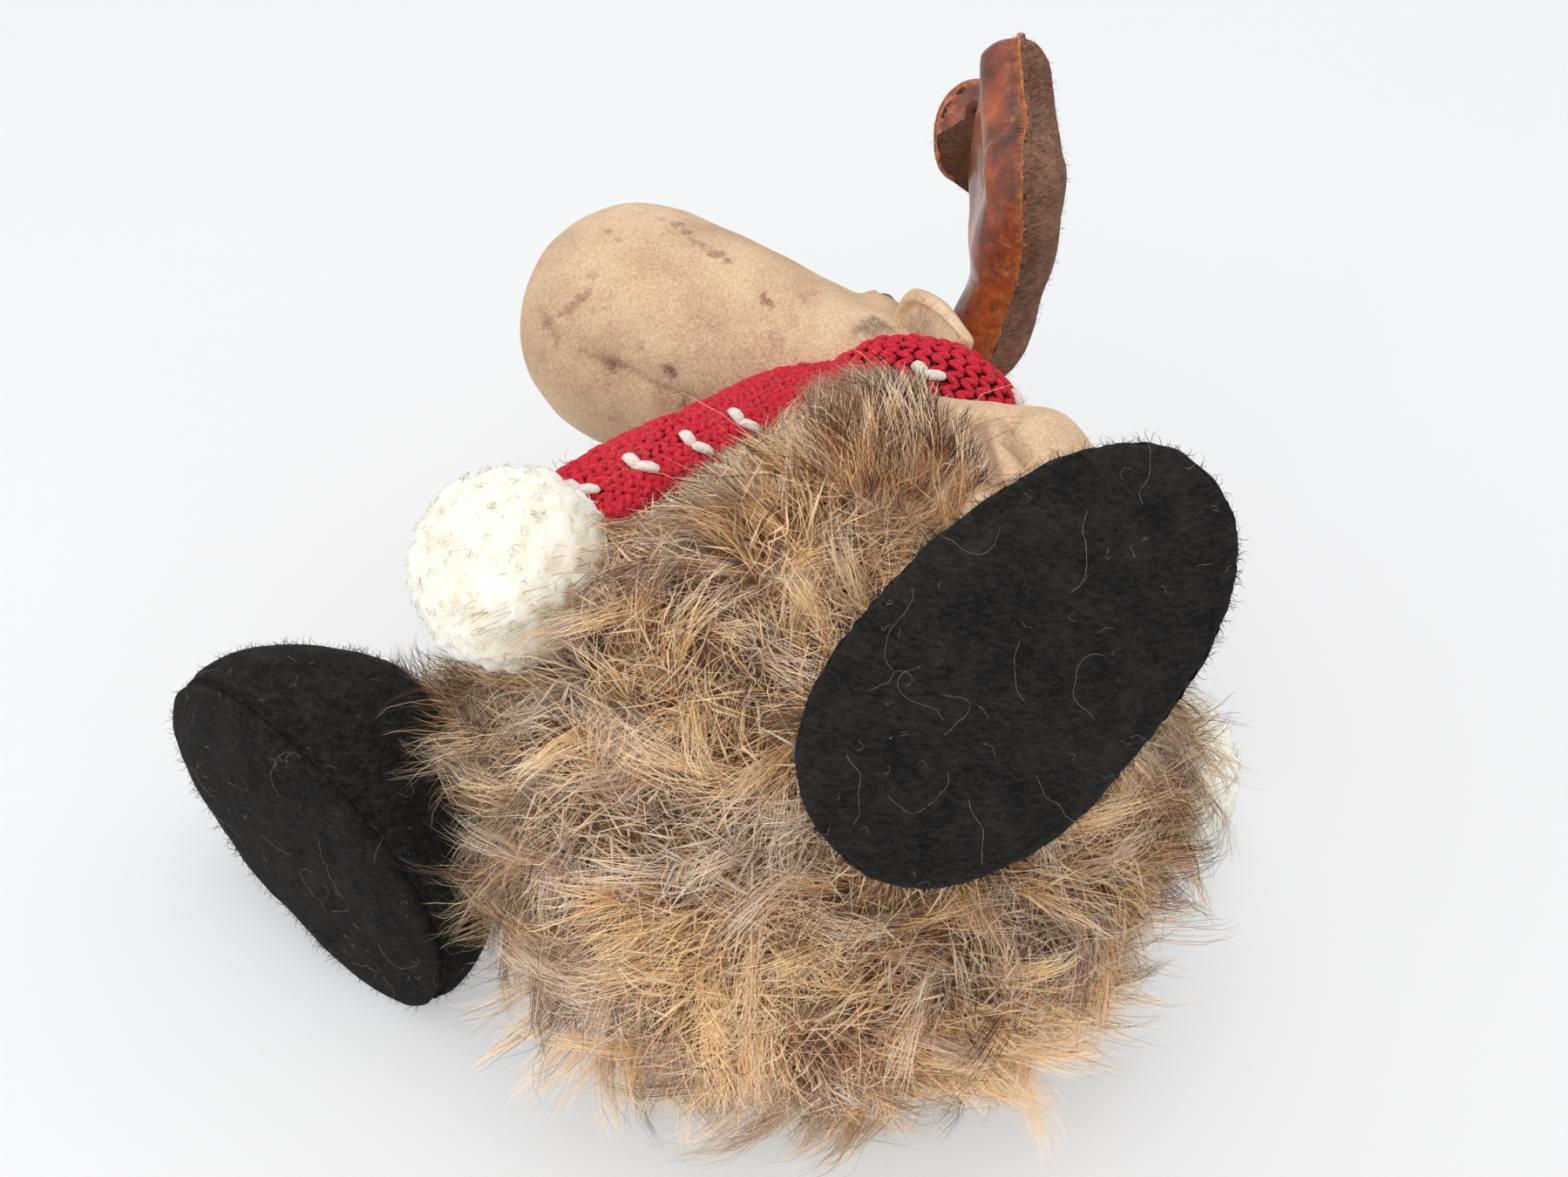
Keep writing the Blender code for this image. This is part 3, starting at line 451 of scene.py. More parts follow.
def taper_profile(low, high, length, spacing):
    """Radius and height down the outside of the hull of two balls, from the top pole to the bottom."""
    lean = math.asin((low - high) / length)
    points = []
    steps = max(4, round((math.pi / 2 - lean) * high / spacing))
    for i in range(steps + 1):
        angle = math.pi / 2 + (lean - math.pi / 2) * i / steps
        points.append((high * math.cos(angle), length + high * math.sin(angle)))
    first = points[-1]
    second = (low * math.cos(lean), low * math.sin(lean))
    rows = max(2, round(math.dist(first, second) / spacing))
    for i in range(1, rows):
        t = i / rows
        points.append((first[0] + (second[0] - first[0]) * t, first[1] + (second[1] - first[1]) * t))
    steps = max(4, round((lean + math.pi / 2) * low / spacing))
    for i in range(steps + 1):
        angle = lean - (lean + math.pi / 2) * i / steps
        points.append((low * math.cos(angle), low * math.sin(angle)))
    points[0] = (0.0, points[0][1])
    points[-1] = (0.0, points[-1][1])
    return points


def unit(vectors):
    return vectors / np.maximum(np.linalg.norm(vectors, axis=-1, keepdims=True), SHORTEST)


def ramp_up(value, start, span):
    """0 up to a start, then rising to 1 over a span."""
    return np.clip((value - start) / span, 0, 1)


def falloff(gap, width):
    """1 where there is no gap, falling smoothly to 0 some widths away."""
    return np.exp(-(gap / width) ** 2)


def moved(points, turn):
    """Points, n by 3, carried by a 4 by 4 turn."""
    matrix = np.array(turn)
    return points @ matrix[:3, :3].T + matrix[:3, 3]


def strand_mesh(name, paths, radii, marks):
    """Closed three-sided hairs along paths (hairs, points, 3), to a point at the tip.

    radii is (hairs, points); marks is (hairs, points, 4), kept on the mesh as the strand colour."""
    hairs, count, _ = paths.shape
    onward = unit(np.gradient(paths, axis=1))
    lean = unit(np.cross(onward[:, 0], np.roll(onward[:, 0], 1, axis=1) + np.array((0.3, -0.2, 0.5))))
    rings = []
    for i in range(count - 1):
        first = unit(lean - onward[:, i] * np.sum(lean * onward[:, i], axis=1, keepdims=True))
        second = np.cross(onward[:, i], first)
        corners = []
        for j in range(3):
            angle = 2 * math.pi * j / 3
            corners.append(paths[:, i] + radii[:, i, None] * (math.cos(angle) * first + math.sin(angle) * second))
        rings.append(np.stack(corners, axis=1))
    points = np.concatenate(rings + [paths[:, -1:, :]], axis=1)
    each = points.shape[1]
    faces = [(2, 1, 0)]
    for i in range(count - 2):
        for j in range(3):
            k = (j + 1) % 3
            a, b, c, d = 3 * i + j, 3 * i + k, 3 * i + 3 + k, 3 * i + 3 + j
            faces += [(a, b, c), (a, c, d)]
    top = 3 * (count - 2)
    faces += [(top + j, top + (j + 1) % 3, each - 1) for j in range(3)]
    faces = np.array(faces)
    index = (faces[None] + (np.arange(hairs) * each)[:, None, None]).reshape(-1)
    mesh = bpy.data.meshes.new(name)
    mesh.vertices.add(hairs * each)
    mesh.vertices.foreach_set("co", points.reshape(-1).astype(np.float32))
    mesh.loops.add(len(index))
    mesh.loops.foreach_set("vertex_index", index.astype(np.int32))
    total = len(index) // 3
    mesh.polygons.add(total)
    mesh.polygons.foreach_set("loop_start", (np.arange(total) * 3).astype(np.int32))
    mesh.update(calc_edges=True)
    mesh.polygons.foreach_set("use_smooth", np.ones(total, dtype=bool))
    spread = np.concatenate([np.repeat(marks[:, :-1], 3, axis=1), marks[:, -1:]], axis=1)
    mesh.attributes.new("strand", "FLOAT_COLOR", "POINT").data.foreach_set(
        "color", spread.reshape(-1).astype(np.float32))
    return mesh


def geometry_tree(name, inputs):
    """An empty Geometry Nodes tree with named inputs."""
    tree = bpy.data.node_groups.new(name, "GeometryNodeTree")
    tree.interface.new_socket("Geometry", in_out="INPUT", socket_type="NodeSocketGeometry")
    for label, kind in inputs:
        tree.interface.new_socket(label, in_out="INPUT", socket_type=kind)
    tree.interface.new_socket("Geometry", in_out="OUTPUT", socket_type="NodeSocketGeometry")
    nodes = Nodes(tree)
    return tree, nodes, nodes.add("NodeGroupInput").outputs, nodes.add("NodeGroupOutput").inputs


def run_tree(tree, mesh, name, **values):
    """The plain mesh that a tree makes from a mesh and its named inputs."""
    carrier = add_object(name, mesh)
    modifier = carrier.modifiers.new("nodes", "NODES")
    modifier.node_group = tree
    for item in tree.interface.items_tree:
        label = item.name.replace(" ", "_").lower()
        if item.in_out == "INPUT" and label in values:
            modifier[item.identifier] = values[label]
    return applied(carrier, name)


def make_real(nodes, placed, given, result):
    """A tree's last nodes: its copies made real, with their material."""
    real = nodes.add("GeometryNodeRealizeInstances", {0: placed}).outputs[0]
    real = nodes.add("GeometryNodeSetMaterial", {"Geometry": real, "Material": given["Look"]}).outputs[0]
    nodes.tree.links.new(real, result["Geometry"])


def set_out_tree():
    """One small shape on each point, turned and sized as the point's own attributes say."""
    tree, nodes, given, result = geometry_tree("set_out", (
        ("Shape", "NodeSocketObject"), ("Look", "NodeSocketMaterial")))
    shape = nodes.add("GeometryNodeObjectInfo", {"Object": given["Shape"]}).outputs["Geometry"]
    turn = nodes.add("GeometryNodeInputNamedAttribute", {"Name": "turn"}, data_type="FLOAT_VECTOR").outputs[0]
    size = nodes.add("GeometryNodeInputNamedAttribute", {"Name": "size"}, data_type="FLOAT_VECTOR").outputs[0]
    rotation = nodes.add("FunctionNodeEulerToRotation", {0: turn}).outputs[0]
    placed = nodes.add("GeometryNodeInstanceOnPoints", {
        "Points": given["Geometry"], "Instance": shape, "Rotation": rotation, "Scale": size}).outputs[0]
    make_real(nodes, placed, given, result)
    return tree


def fuzz_tree():
    """Loose fibres grown over a surface, leaning every way."""
    tree, nodes, given, result = geometry_tree("grow_fuzz", (
        ("Fibre", "NodeSocketObject"), ("Density", "NodeSocketFloat"), ("Length", "NodeSocketFloat"),
        ("Lean", "NodeSocketFloat"), ("Seed", "NodeSocketInt"), ("Look", "NodeSocketMaterial")))
    fibre = nodes.add("GeometryNodeObjectInfo", {"Object": given["Fibre"]}).outputs["Geometry"]
    spread = nodes.add("GeometryNodeDistributePointsOnFaces", {
        "Mesh": given["Geometry"], "Density": given["Density"], "Seed": given["Seed"]}).outputs
    lean = given["Lean"]
    back = nodes.maths("MULTIPLY", lean, -1.0)
    low = nodes.add("ShaderNodeCombineXYZ", {0: back, 1: back, 2: -3.1}).outputs[0]
    high = nodes.add("ShaderNodeCombineXYZ", {0: lean, 1: lean, 2: 3.1}).outputs[0]
    tip = nodes.add("FunctionNodeRandomValue", {0: low, 1: high, "Seed": given["Seed"]}, data_type="FLOAT_VECTOR")
    own = nodes.add("FunctionNodeEulerToRotation", {0: tip.outputs[0]}).outputs[0]
    turned = nodes.add("FunctionNodeRotateRotation", {0: spread["Rotation"], 1: own}, rotation_space="LOCAL")
    share = nodes.add("FunctionNodeRandomValue", {2: 0.4, 3: 1.3, "Seed": given["Seed"]}, data_type="FLOAT")
    length = nodes.maths("MULTIPLY", share.outputs[1], given["Length"])
    placed = nodes.add("GeometryNodeInstanceOnPoints", {
        "Points": spread["Points"], "Instance": fibre, "Rotation": turned.outputs[0], "Scale": length}).outputs[0]
    make_real(nodes, placed, given, result)
    return tree


def carrier_mesh(name, frames, sizes, tones):
    """Points with a turn, a size and a tone each, from 4 by 4 frames."""
    mesh = bpy.data.meshes.new(name)
    mesh.from_pydata([tuple(f.translation) for f in frames], [], [])
    turns = np.array([tuple(f.to_euler()) for f in frames])
    mesh.attributes.new("turn", "FLOAT_VECTOR", "POINT").data.foreach_set("vector", turns.reshape(-1))
    sizes = np.array(sizes, dtype=float)
    mesh.attributes.new("size", "FLOAT_VECTOR", "POINT").data.foreach_set("vector", sizes.reshape(-1))
    mesh.attributes.new("tone", "FLOAT", "POINT").data.foreach_set("value", np.array(tones, dtype=float))
    return mesh


def hidden_shape(name, mesh):
    """A small shape to repeat; it is removed once its repeats are real."""
    item = add_object(name, mesh)
    small_shapes.append(item)
    return item


def remeshed(name, meshes, voxel, smooth):
    """One closed skin over several closed meshes."""
    work = bmesh.new()
    for mesh in meshes:
        work.from_mesh(mesh)
    carrier = add_object(name, mesh_of(work, name))
    skin = carrier.modifiers.new("skin", "REMESH")
    skin.mode = "VOXEL"
    skin.voxel_size = voxel
    even = carrier.modifiers.new("even", "SMOOTH")
    even.iterations = smooth
    even.factor = 0.5
    made = applied(carrier, name)
    made.shade_smooth()
    return made


def vertex_arrays(mesh):
    points = np.empty(len(mesh.vertices) * 3)
    normals = np.empty(len(mesh.vertices) * 3)
    mesh.vertices.foreach_get("co", points)
    mesh.vertex_normals.foreach_get("vector", normals)
    return points.reshape(-1, 3), normals.reshape(-1, 3)


def set_points(mesh, points):
    mesh.vertices.foreach_set("co", points.reshape(-1).astype(np.float32))
    mesh.update()


def line_distance(points, line):
    """Each point's distance to a polyline."""
    line = np.array([tuple(p) for p in line])
    nearest = np.full(len(points), 1e9)
    for start, end in zip(line, line[1:]):
        way = end - start
        t = np.clip((points - start) @ way / max(way @ way, 1e-12), 0, 1)
        nearest = np.minimum(nearest, np.linalg.norm(points - start - t[:, None] * way, axis=1))
    return nearest


def noise_at(points, size, shift=0.0):
    """Smooth noise from about -1 to 1 at points, its lumps about size across."""
    where = Vector((shift, shift * 0.7, -shift))
    return np.array([noise.noise(Vector(p) / size + where) for p in points])


small_shapes = []
SET_OUT = set_out_tree()
FUZZ = fuzz_tree()

# ---------------------------------------------------------------- the camera, the light and the floor
EYE = Vector((0.01873, -0.63288, 0.54978))
CAMERA_PITCH = math.radians(36.0)
LENS = 72.22
SENSOR_WIDTH = 36.0
PHOTO_WIDTH = 1799
PHOTO_HEIGHT = 1350
PIXEL = SENSOR_WIDTH / LENS / PHOTO_WIDTH
ONWARD = Vector((0.0, math.cos(CAMERA_PITCH), -math.sin(CAMERA_PITCH)))
CAMERA_UP = Vector((0.0, math.sin(CAMERA_PITCH), math.cos(CAMERA_PITCH)))

camera_data = bpy.data.cameras.new("camera")
camera_data.lens = LENS
camera_data.sensor_width = SENSOR_WIDTH
camera_data.clip_start = 0.01
camera = add_object("camera", camera_data)
camera.location = EYE
camera.rotation_euler = (math.pi / 2 - CAMERA_PITCH, 0.0, 0.0)
bpy.context.scene.camera = camera
bpy.context.scene.view_settings.view_transform = "Standard"


def sight(across, down):
    """The direction from the camera through a point of the photograph, in its own pixels."""
    right = Vector((1, 0, 0)) * (across - PHOTO_WIDTH / 2) * PIXEL
    return (ONWARD + right + CAMERA_UP * (PHOTO_HEIGHT / 2 - down) * PIXEL).normalized()


def seen_on(mesh, spots):
    """Where the camera sees each spot of the photograph on a mesh."""
    tree = surface_tree(mesh)
    found = []
    for across, down in spots:
        ray = sight(across, down)
        hit = tree.ray_cast(EYE, ray)[0]
        if hit is None:
            near = EYE + ray * (BODY_CENTRE - EYE).length
            hit = tree.find_nearest(near)[0]
        found.append(hit)
    return found


def room_mesh():
    """The table and the backdrop in one sweep."""
    reach, back, bend, top = 9.0, 2.0, 0.60, 3.0
    outline = [(-reach, 0.0), (back, 0.0)]
    for i in range(1, 9):
        angle = math.radians(90 * i / 8)
        outline.append((back + bend * math.sin(angle), bend * (1 - math.cos(angle))))
    outline.append((back + bend, top))
    points = []
    faces = []
    for x in (-reach, reach):
        points += [(x, y, z) for y, z in outline]
    count = len(outline)
    for i in range(count - 1):
        faces.append((i, count + i, count + i + 1, i + 1))
    return mesh_from("sweep", points, faces)


def room_finish():
    """Matt white that also glows a little where the camera or a mirror sees it, so that it stays even far out."""
    made, nodes, shader, at = finish("white_sweep", specular=0.0)
    tone = nodes.ramp(nodes.noise(at, 3.0), [(0.3, (0.775, 0.780, 0.788, 1.0)), (0.7, (0.795, 0.800, 0.808, 1.0))])
    join(nodes, shader, tone, 1.0)
    path = nodes.add("ShaderNodeLightPath")
    seen = nodes.maths("MAXIMUM", path.outputs["Is Camera Ray"], path.outputs["Is Glossy Ray"])
    seen = nodes.maths("MAXIMUM", seen, path.outputs["Is Transmission Ray"])
    glow = nodes.add("ShaderNodeEmission", {"Color": linear(0.960, 0.966, 0.974), "Strength": 1.0})
    mixed = nodes.add("ShaderNodeMixShader", {0: nodes.maths("MULTIPLY", seen, 0.42)})
    out = next(node for node in made.node_tree.nodes if node.type == "OUTPUT_MATERIAL")
    made.node_tree.links.new(shader.outputs[0], mixed.inputs[1])
    made.node_tree.links.new(glow.outputs[0], mixed.inputs[2])
    made.node_tree.links.new(mixed.outputs[0], out.inputs["Surface"])
    return made


sweep_mesh = room_mesh()
sweep_mesh.materials.append(room_finish())
sweep = add_object("sweep", sweep_mesh)

world = bpy.data.worlds.new("soft_room")
bpy.context.scene.world = world
world.use_nodes = True
world.node_tree.nodes["Background"].inputs["Color"].default_value = (1.0, 0.995, 0.99, 1.0)
world.node_tree.nodes["Background"].inputs["Strength"].default_value = 0.93


def soft_light(name, at, towards, size, power):
    lamp = bpy.data.lights.new(name, "AREA")
    lamp.shape = "RECTANGLE"
    lamp.size = size
    lamp.size_y = size
    lamp.energy = power
    item = add_object(name, lamp)
    item.location = at
    item.rotation_euler = (Vector(towards) - Vector(at)).to_track_quat("-Z", "Y").to_euler()


soft_light("soft_over", (0.10, 0.10, 1.6), (0, 0, 0.05), 1.5, 6.5)
soft_light("soft_front", (-0.45, -1.3, 1.1), (0, 0, 0.05), 1.2, 10.0)

# ---------------------------------------------------------------- the fur body
FUR_BACKING = skin_finish()
FUR = fur_finish()
TURN_BODY = np.array(BODY.to_3x3())


def body_profile(depth, spacing):
    return taper_profile(BODY_RADIUS - depth, SHOULDER_RADIUS - depth * 0.7, BODY_RISE, spacing)


def fur_roots(count, rng):
    """Places on the fur's backing and the way it faces there."""
    profile = np.array(body_profile(SKIN_DEPTH, ROOT_SPACING))
    step = profile[1:] - profile[:-1]
    weight = (profile[1:, 0] + profile[:-1, 0]) * np.linalg.norm(step, axis=1)
    pick = rng.choice(len(weight), count, p=weight / weight.sum())
    spot = profile[pick] + step[pick] * rng.random(count)[:, None]
    facing = unit(np.stack([-step[pick, 1], step[pick, 0]], axis=1))
    turn = rng.random(count) * 2 * math.pi
    c, s = np.cos(turn), np.sin(turn)
    points = np.stack([spot[:, 0] * c, spot[:, 0] * s, spot[:, 1]], axis=1)
    normals = np.stack([facing[:, 0] * c, facing[:, 0] * s, facing[:, 1]], axis=1)
    return moved(points, BODY), normals @ TURN_BODY.T, spot[:, 1]


def out_of_line(points, start, end, first_radius, last_radius):
    """How deep points are in a round limb, and the way out of it."""
    start, end = np.array(start), np.array(end)
    way = end - start
    t = np.clip((points - start) @ way / (way @ way), 0, 1)
    off = points - start - t[:, None] * way
    far = np.linalg.norm(off, axis=1)
    return far - (first_radius + (last_radius - first_radius) * t), unit(off)


def round_limbs():
    """The round parts that the fur lies against: start, end and the radius at each."""
    limbs = []
    for hip, knee, ankle in LEGS.values():
        limbs += [(hip, knee, 0.0190, 0.0186), (knee, ankle, 0.0186, 0.0172)]
    for label, route in TAIL_ROUTES.items():
        limbs += [(a, b, 0.0085, 0.0085) for a, b in zip(route, route[1:])]
        limbs.append((POMPOMS[label], POMPOMS[label] + Vector((0, 0, 0.0001)), POMPOM_RADIUS, POMPOM_RADIUS))
    return limbs + [(HEAD.translation, HEAD @ Vector((MUZZLE_REACH, 0, 0)), NAPE_RADIUS, MUZZLE_RADIUS)]


LIMBS = round_limbs()


def out_of_boots(points, deepest):
    """Fur points moved just out of both boots, in place; gives how deep each was so far."""
    skin = 1.03
    for boot in BOOTS.values():
        local = moved(points, boot.inverted())
        toe = local[:, 0] / BOOT_HALF_LENGTH
        high = np.where(local[:, 2] > 0, BOOT_HEIGHT * (1 - TOE_DROP * toe), 0.0075)
        wide = BOOT_HALF_WIDTH * (1 + TOE_SPREAD * toe)
        far = np.linalg.norm(np.stack([toe, local[:, 1] / wide, local[:, 2] / high], axis=1), axis=1)
        inside = far < skin
        deepest = np.minimum(deepest, (far - 1) * 0.03)
        local[inside] *= (skin / np.maximum(far[inside], 0.05))[:, None]
        points[inside] = moved(local[inside], boot)
    return deepest


def out_of_wrap(points, deepest):
    """Fur points moved out of the scarf's ring round the neck, in place; gives how deep each was so far."""
    thick, wide = 0.0090, 0.0142
    local = moved(points, BODY.inverted())
    out = np.linalg.norm(local[:, :2], axis=1)
    share = np.stack([(out - RING_RADIUS) / thick, (local[:, 2] - RING_HEIGHT) / wide], axis=1)
    far = np.linalg.norm(share, axis=1)
    inside = far < 1
    grown = (1 / np.maximum(far, 0.05))[:, None]
    ring = local[:, :2] / np.maximum(out, 1e-6)[:, None] * (RING_RADIUS + share[:, :1] * grown * thick)
    fixed = np.concatenate([ring, RING_HEIGHT + share[:, 1:] * grown * wide], axis=1)
    points[inside] = moved(fixed[inside], BODY)
    return np.minimum(deepest, (far - 1) * 0.01)


def push_out(points):
    """Fur points moved to the outside of the boots, legs, scarf, pompoms and head; and how deep each was."""
    points = points.copy()
    deepest = np.full(len(points), 1.0)
    for limb in LIMBS:
        depth, off = out_of_line(points, *limb)
        deepest = np.minimum(deepest, depth)
        inside = depth < 0
        points[inside] -= off[inside] * depth[inside, None]
    deepest = out_of_boots(points, deepest)
    deepest = out_of_wrap(points, deepest)
    return points, deepest


def spaced(points, count):
    """Points of the list that stand well apart from each other."""
    chosen = [0]
    far = np.linalg.norm(points - points[0], axis=1)
    for _ in range(count - 1):
        chosen.append(int(np.argmax(far)))
        far = np.minimum(far, np.linalg.norm(points - points[chosen[-1]], axis=1))
    return np.array(chosen)


def smooth_vectors(points, size, seed):
    """Smooth noise with a direction at each point, its lumps about size across."""
    return np.array([tuple(noise.noise_vector(Vector(p) / size + Vector((seed, -seed, seed * 0.5)))) for p in points])


def flattened(vectors, normals):
    """Vectors laid along a surface."""
    return vectors - normals * np.sum(vectors * normals, axis=1, keepdims=True)


TO_CAMERA = np.array((EYE - BODY_CENTRE).normalized())
CENTRE = np.array(BODY_CENTRE)
SCREEN_RIGHT = np.array((1.0, 0.0, 0.0))
SCREEN_UP = np.array(CAMERA_UP)
UP_BODY = TURN_BODY[:, 2]


def fall(points, faces, high):
    """The way the fur is swept at each place: off the middle, down, and up toward the head near the scarf."""
    away = flattened(unit(points - CENTRE), np.tile(TO_CAMERA, (len(points), 1)))
    rim = np.clip(np.linalg.norm(away, axis=1, keepdims=True) - 0.35, 0, 1)
    to_head = ramp_up(high, 0.045, 0.04)[:, None] * UP_BODY
    ways = 1.7 * rim * unit(away) + np.array((-0.22, -0.10, -0.22)) + 0.8 * to_head
    ways += 2.3 * smooth_vectors(points, 0.030, 3.7) + 1.2 * smooth_vectors(points, 0.011, 8.1)
    return unit(flattened(ways, faces))


def grow(roots, faces, ways, length, lift, bend, steps, frizz, rng):
    """Hairs that rise out of the backing and curve over, one path each."""
    total = len(roots)
    side = np.cross(faces, ways)
    phase = rng.random((total, 2)) * 2 * math.pi
    beat = rng.uniform(3.5, 8.5, total)
    paths = np.empty((total, steps, 3))
    paths[:, 0] = roots - faces * 0.0008
    for i in range(1, steps):
        t = (i - 0.5) / (steps - 1)
        angle = bend * (t - 0.2) + frizz * np.sin(phase[:, 0] + beat * t)
        up = lift * (1.3 - 1.35 * t) + 0.6 * frizz * np.sin(phase[:, 1] + beat * t)
        ahead = ways * np.cos(angle)[:, None] + side * np.sin(angle)[:, None] + faces * up[:, None]
        paths[:, i] = paths[:, i - 1] + unit(ahead) * (length / (steps - 1))[:, None]
    return paths


def settle(paths, rng):
    """Hairs laid over the boots, legs, scarf and head, and spread on the table where they reach it."""
    for i in range(1, paths.shape[1]):
        paths[:, i], _ = push_out(paths[:, i])
        low = np.clip(0.0009 + rng.random(len(paths)) * 0.003 - paths[:, i, 2], 0, None)
        off = paths[:, i] - CENTRE
        off[:, 2] = 0
        paths[:, i] += unit(off) * low[:, None] * 0.9
        paths[:, i, 2] += low
    return paths


def in_photo(points):
    """Where points stand in the photograph, in its own pixels."""
    off = points - np.array(EYE)
    far = off @ np.array(ONWARD)
    across = PHOTO_WIDTH / 2 + off[:, 0] / far / PIXEL
    down = PHOTO_HEIGHT / 2 - off @ np.array(CAMERA_UP) / far / PIXEL
    return np.stack([across, down], axis=1)


def within(spots, outline):
    """Which spots lie inside an outline."""
    inside = np.zeros(len(spots), bool)
    for (x0, y0), (x1, y1) in zip(outline, outline[1:] + outline[:1]):
        crosses = (y0 > spots[:, 1]) != (y1 > spots[:, 1])
        level = (spots[:, 1] - y0) / ((y1 - y0) or 1e-9)
        inside ^= crosses & (spots[:, 0] < x0 + level * (x1 - x0))
    return inside


# Outlines of the photograph, in its pixels, where no fur lies over the scarf's tail, neck, leg and wrap
BARE_SPOTS = (
    ((560, 560), (700, 470), (900, 370), (1010, 350), (1010, 392), (965, 415), (925, 436), (898, 466),
     (866, 496), (802, 536), (764, 566), (716, 596), (684, 590), (660, 560)),
    ((1068, 380), (1180, 380), (1200, 480), (1120, 470), (1088, 466), (1062, 432)),
    ((1112, 470), (1170, 455), (1260, 480), (1262, 520), (1190, 520), (1150, 552), (1128, 520)),
    ((985, 350), (1100, 350), (1100, 432), (1050, 424), (1000, 418), (975, 414)))
STRAY_SHARE = 0.005


def off_scarf(paths, rng):
    """Hairs shortened where they would cross the scarf and leg that the photograph shows bare; a few stray over."""
    steps = paths.shape[1]
    tips = paths.reshape(-1, 3)
    spots = in_photo(tips)
    bare = np.zeros(len(tips), bool)
    for outline in BARE_SPOTS:
        bare |= within(spots, outline)
    bare |= line_distance(tips, TAIL_ROUTES["back"]) < 0.0115
    bare = bare.reshape(-1, steps)
    first = np.where(bare.any(axis=1), bare.argmax(axis=1), steps)
    first = np.where(rng.random(len(paths)) < STRAY_SHARE, steps, first)
    reach = np.where(first < steps, np.clip(first - 0.6, 0, None), steps - 1.0)
    cut = np.empty_like(paths)
    rows = np.arange(len(paths))
    for i in range(steps):
        at = reach * i / (steps - 1)
        low = np.minimum(at.astype(int), steps - 2)
        share = (at - low)[:, None]
        cut[:, i] = paths[rows, low] * (1 - share) + paths[rows, low + 1] * share
    return cut, first > 1


def marks_for(total, steps, *values):
    """Each hair's marks along it: how far along, then its tone, dark tip and shade."""
    marks = np.empty((total, steps, 4))
    marks[:, :, 0] = np.linspace(0, 1, steps)[None]
    for i, value in enumerate(values):
        marks[:, :, i + 1] = np.clip(value, 0, 1)[:, None]
    return marks


def show_hairs(name, paths, width, marks, rng, pieces=1):
    """Hairs as pieces of their own, with painted light low down and painted shade darkest at the left."""
    steps = paths.shape[1]
    paths, keep = off_scarf(paths, rng)
    paths, marks = paths[keep], marks[keep]
    rise = (paths[:, 0] - CENTRE) @ SCREEN_UP
    across = (paths[:, 0] - CENTRE) @ SCREEN_RIGHT
    # Painted light on hairs low down, where the lamps leave shade, and a little high up; painted shade at the left
    # and right rims, strongest at the left, where the boot casts its shadow.
    light = 0.40 * ramp_up(-rise, 0.036, 0.030) + 0.20 * ramp_up(rise, 0.030, 0.025)
    light -= 0.40 * ramp_up(-across, 0.050, 0.020) + 0.14 * ramp_up(across, 0.050, 0.020)
    marks[:, :, 3] = np.clip(marks[:, :, 3] + light[:, None], 0, 1)
    profile = np.interp(np.linspace(0, 1, steps), (0, 0.4, 0.8, 1), (1.0, 1.0, 0.62, 0.0))
    radii = width * rng.uniform(0.7, 1.3, len(paths))[:, None] * profile[None]
    for i, part in enumerate(np.array_split(rng.permutation(len(paths)), pieces)):
        mesh = strand_mesh(f"{name}_{i}", paths[part], radii[part], marks[part])
        show(f"{name}_{i}", mesh, FUR, "toy")


def free_roots(count, rng):
    """Places on the backing that nothing covers, below the scarf and clear of the bare knee."""
    roots, faces, high = fur_roots(count, rng)
    keep = (high < FUR_TOP) & (roots[:, 2] > ROOT_CLEARANCE)
    keep &= ~((high > 0.072) & ((roots - CENTRE) @ SCREEN_RIGHT > 0.034) & ((roots - CENTRE) @ TO_CAMERA > -0.010))
    _, depth = push_out(roots + faces * PILE_STANDS_OFF)
    keep &= depth > 0
    return roots[keep], faces[keep], high[keep]


def tone_of(points, rng):
    """How gold, cream and dark-tipped the fur is at each place, as the photograph shows it."""
    across = (points - CENTRE) @ SCREEN_RIGHT
    above = (points - CENTRE) @ SCREEN_UP
    out = np.hypot(across, above)
    rim = ramp_up(out, 0.058, 0.022)
    cloud = smooth_vectors(points, 0.022, 5.5)
    tone = 0.31 + 1.9 * cloud[:, 0] + 0.16 * rng.standard_normal(len(points))
    tone += 0.26 * ramp_up(across, 0.015, 0.05) * ramp_up(-above, -0.01, 0.04)
    tone += 0.20 * ramp_up(-above, 0, 0.07) + 0.30 * ramp_up(above, 0.025, 0.03)
    sideways = (across / np.maximum(out, 1e-6)) ** 2
    share = 0.17 + 0.55 * np.clip(cloud[:, 1] * 4, 0, 1) + 0.95 * rim * (0.20 + 0.80 * sideways)
    share += 0.50 * ramp_up(above, 0.026, 0.025)
    dark = (rng.random(len(points)) < share) * rng.uniform(0.45, 1.0, len(points))
    return np.clip(tone, 0.0, 1.0), dark, rim


def underfur(name, rng, count, steps, length, lift, frizz, width, shades, pieces):
    """A layer of single hairs all over the body, higher toward the shoulders."""
    roots, faces, high = free_roots(count, rng)
    total = len(roots)
    ways = unit(flattened(fall(roots, faces, high) + 0.75 * rng.standard_normal((total, 3)), faces))
    tone, dark, _ = tone_of(roots, rng)
    shoulder = 1 + 0.5 * ramp_up(high, 0.045, 0.03)
    paths = grow(roots, faces, ways, length * rng.uniform(0.6, 1.25, total),
                 lift * shoulder * rng.uniform(0.5, 1.5, total),
                 rng.normal(0, 1.1, total), steps, frizz, rng)
    paths = settle(paths, rng)
    marks = marks_for(total, steps, tone * 0.8, dark * (rng.random(total) < 0.6), rng.uniform(*shades, total))
    show_hairs(name, paths, width, marks, rng, pieces)


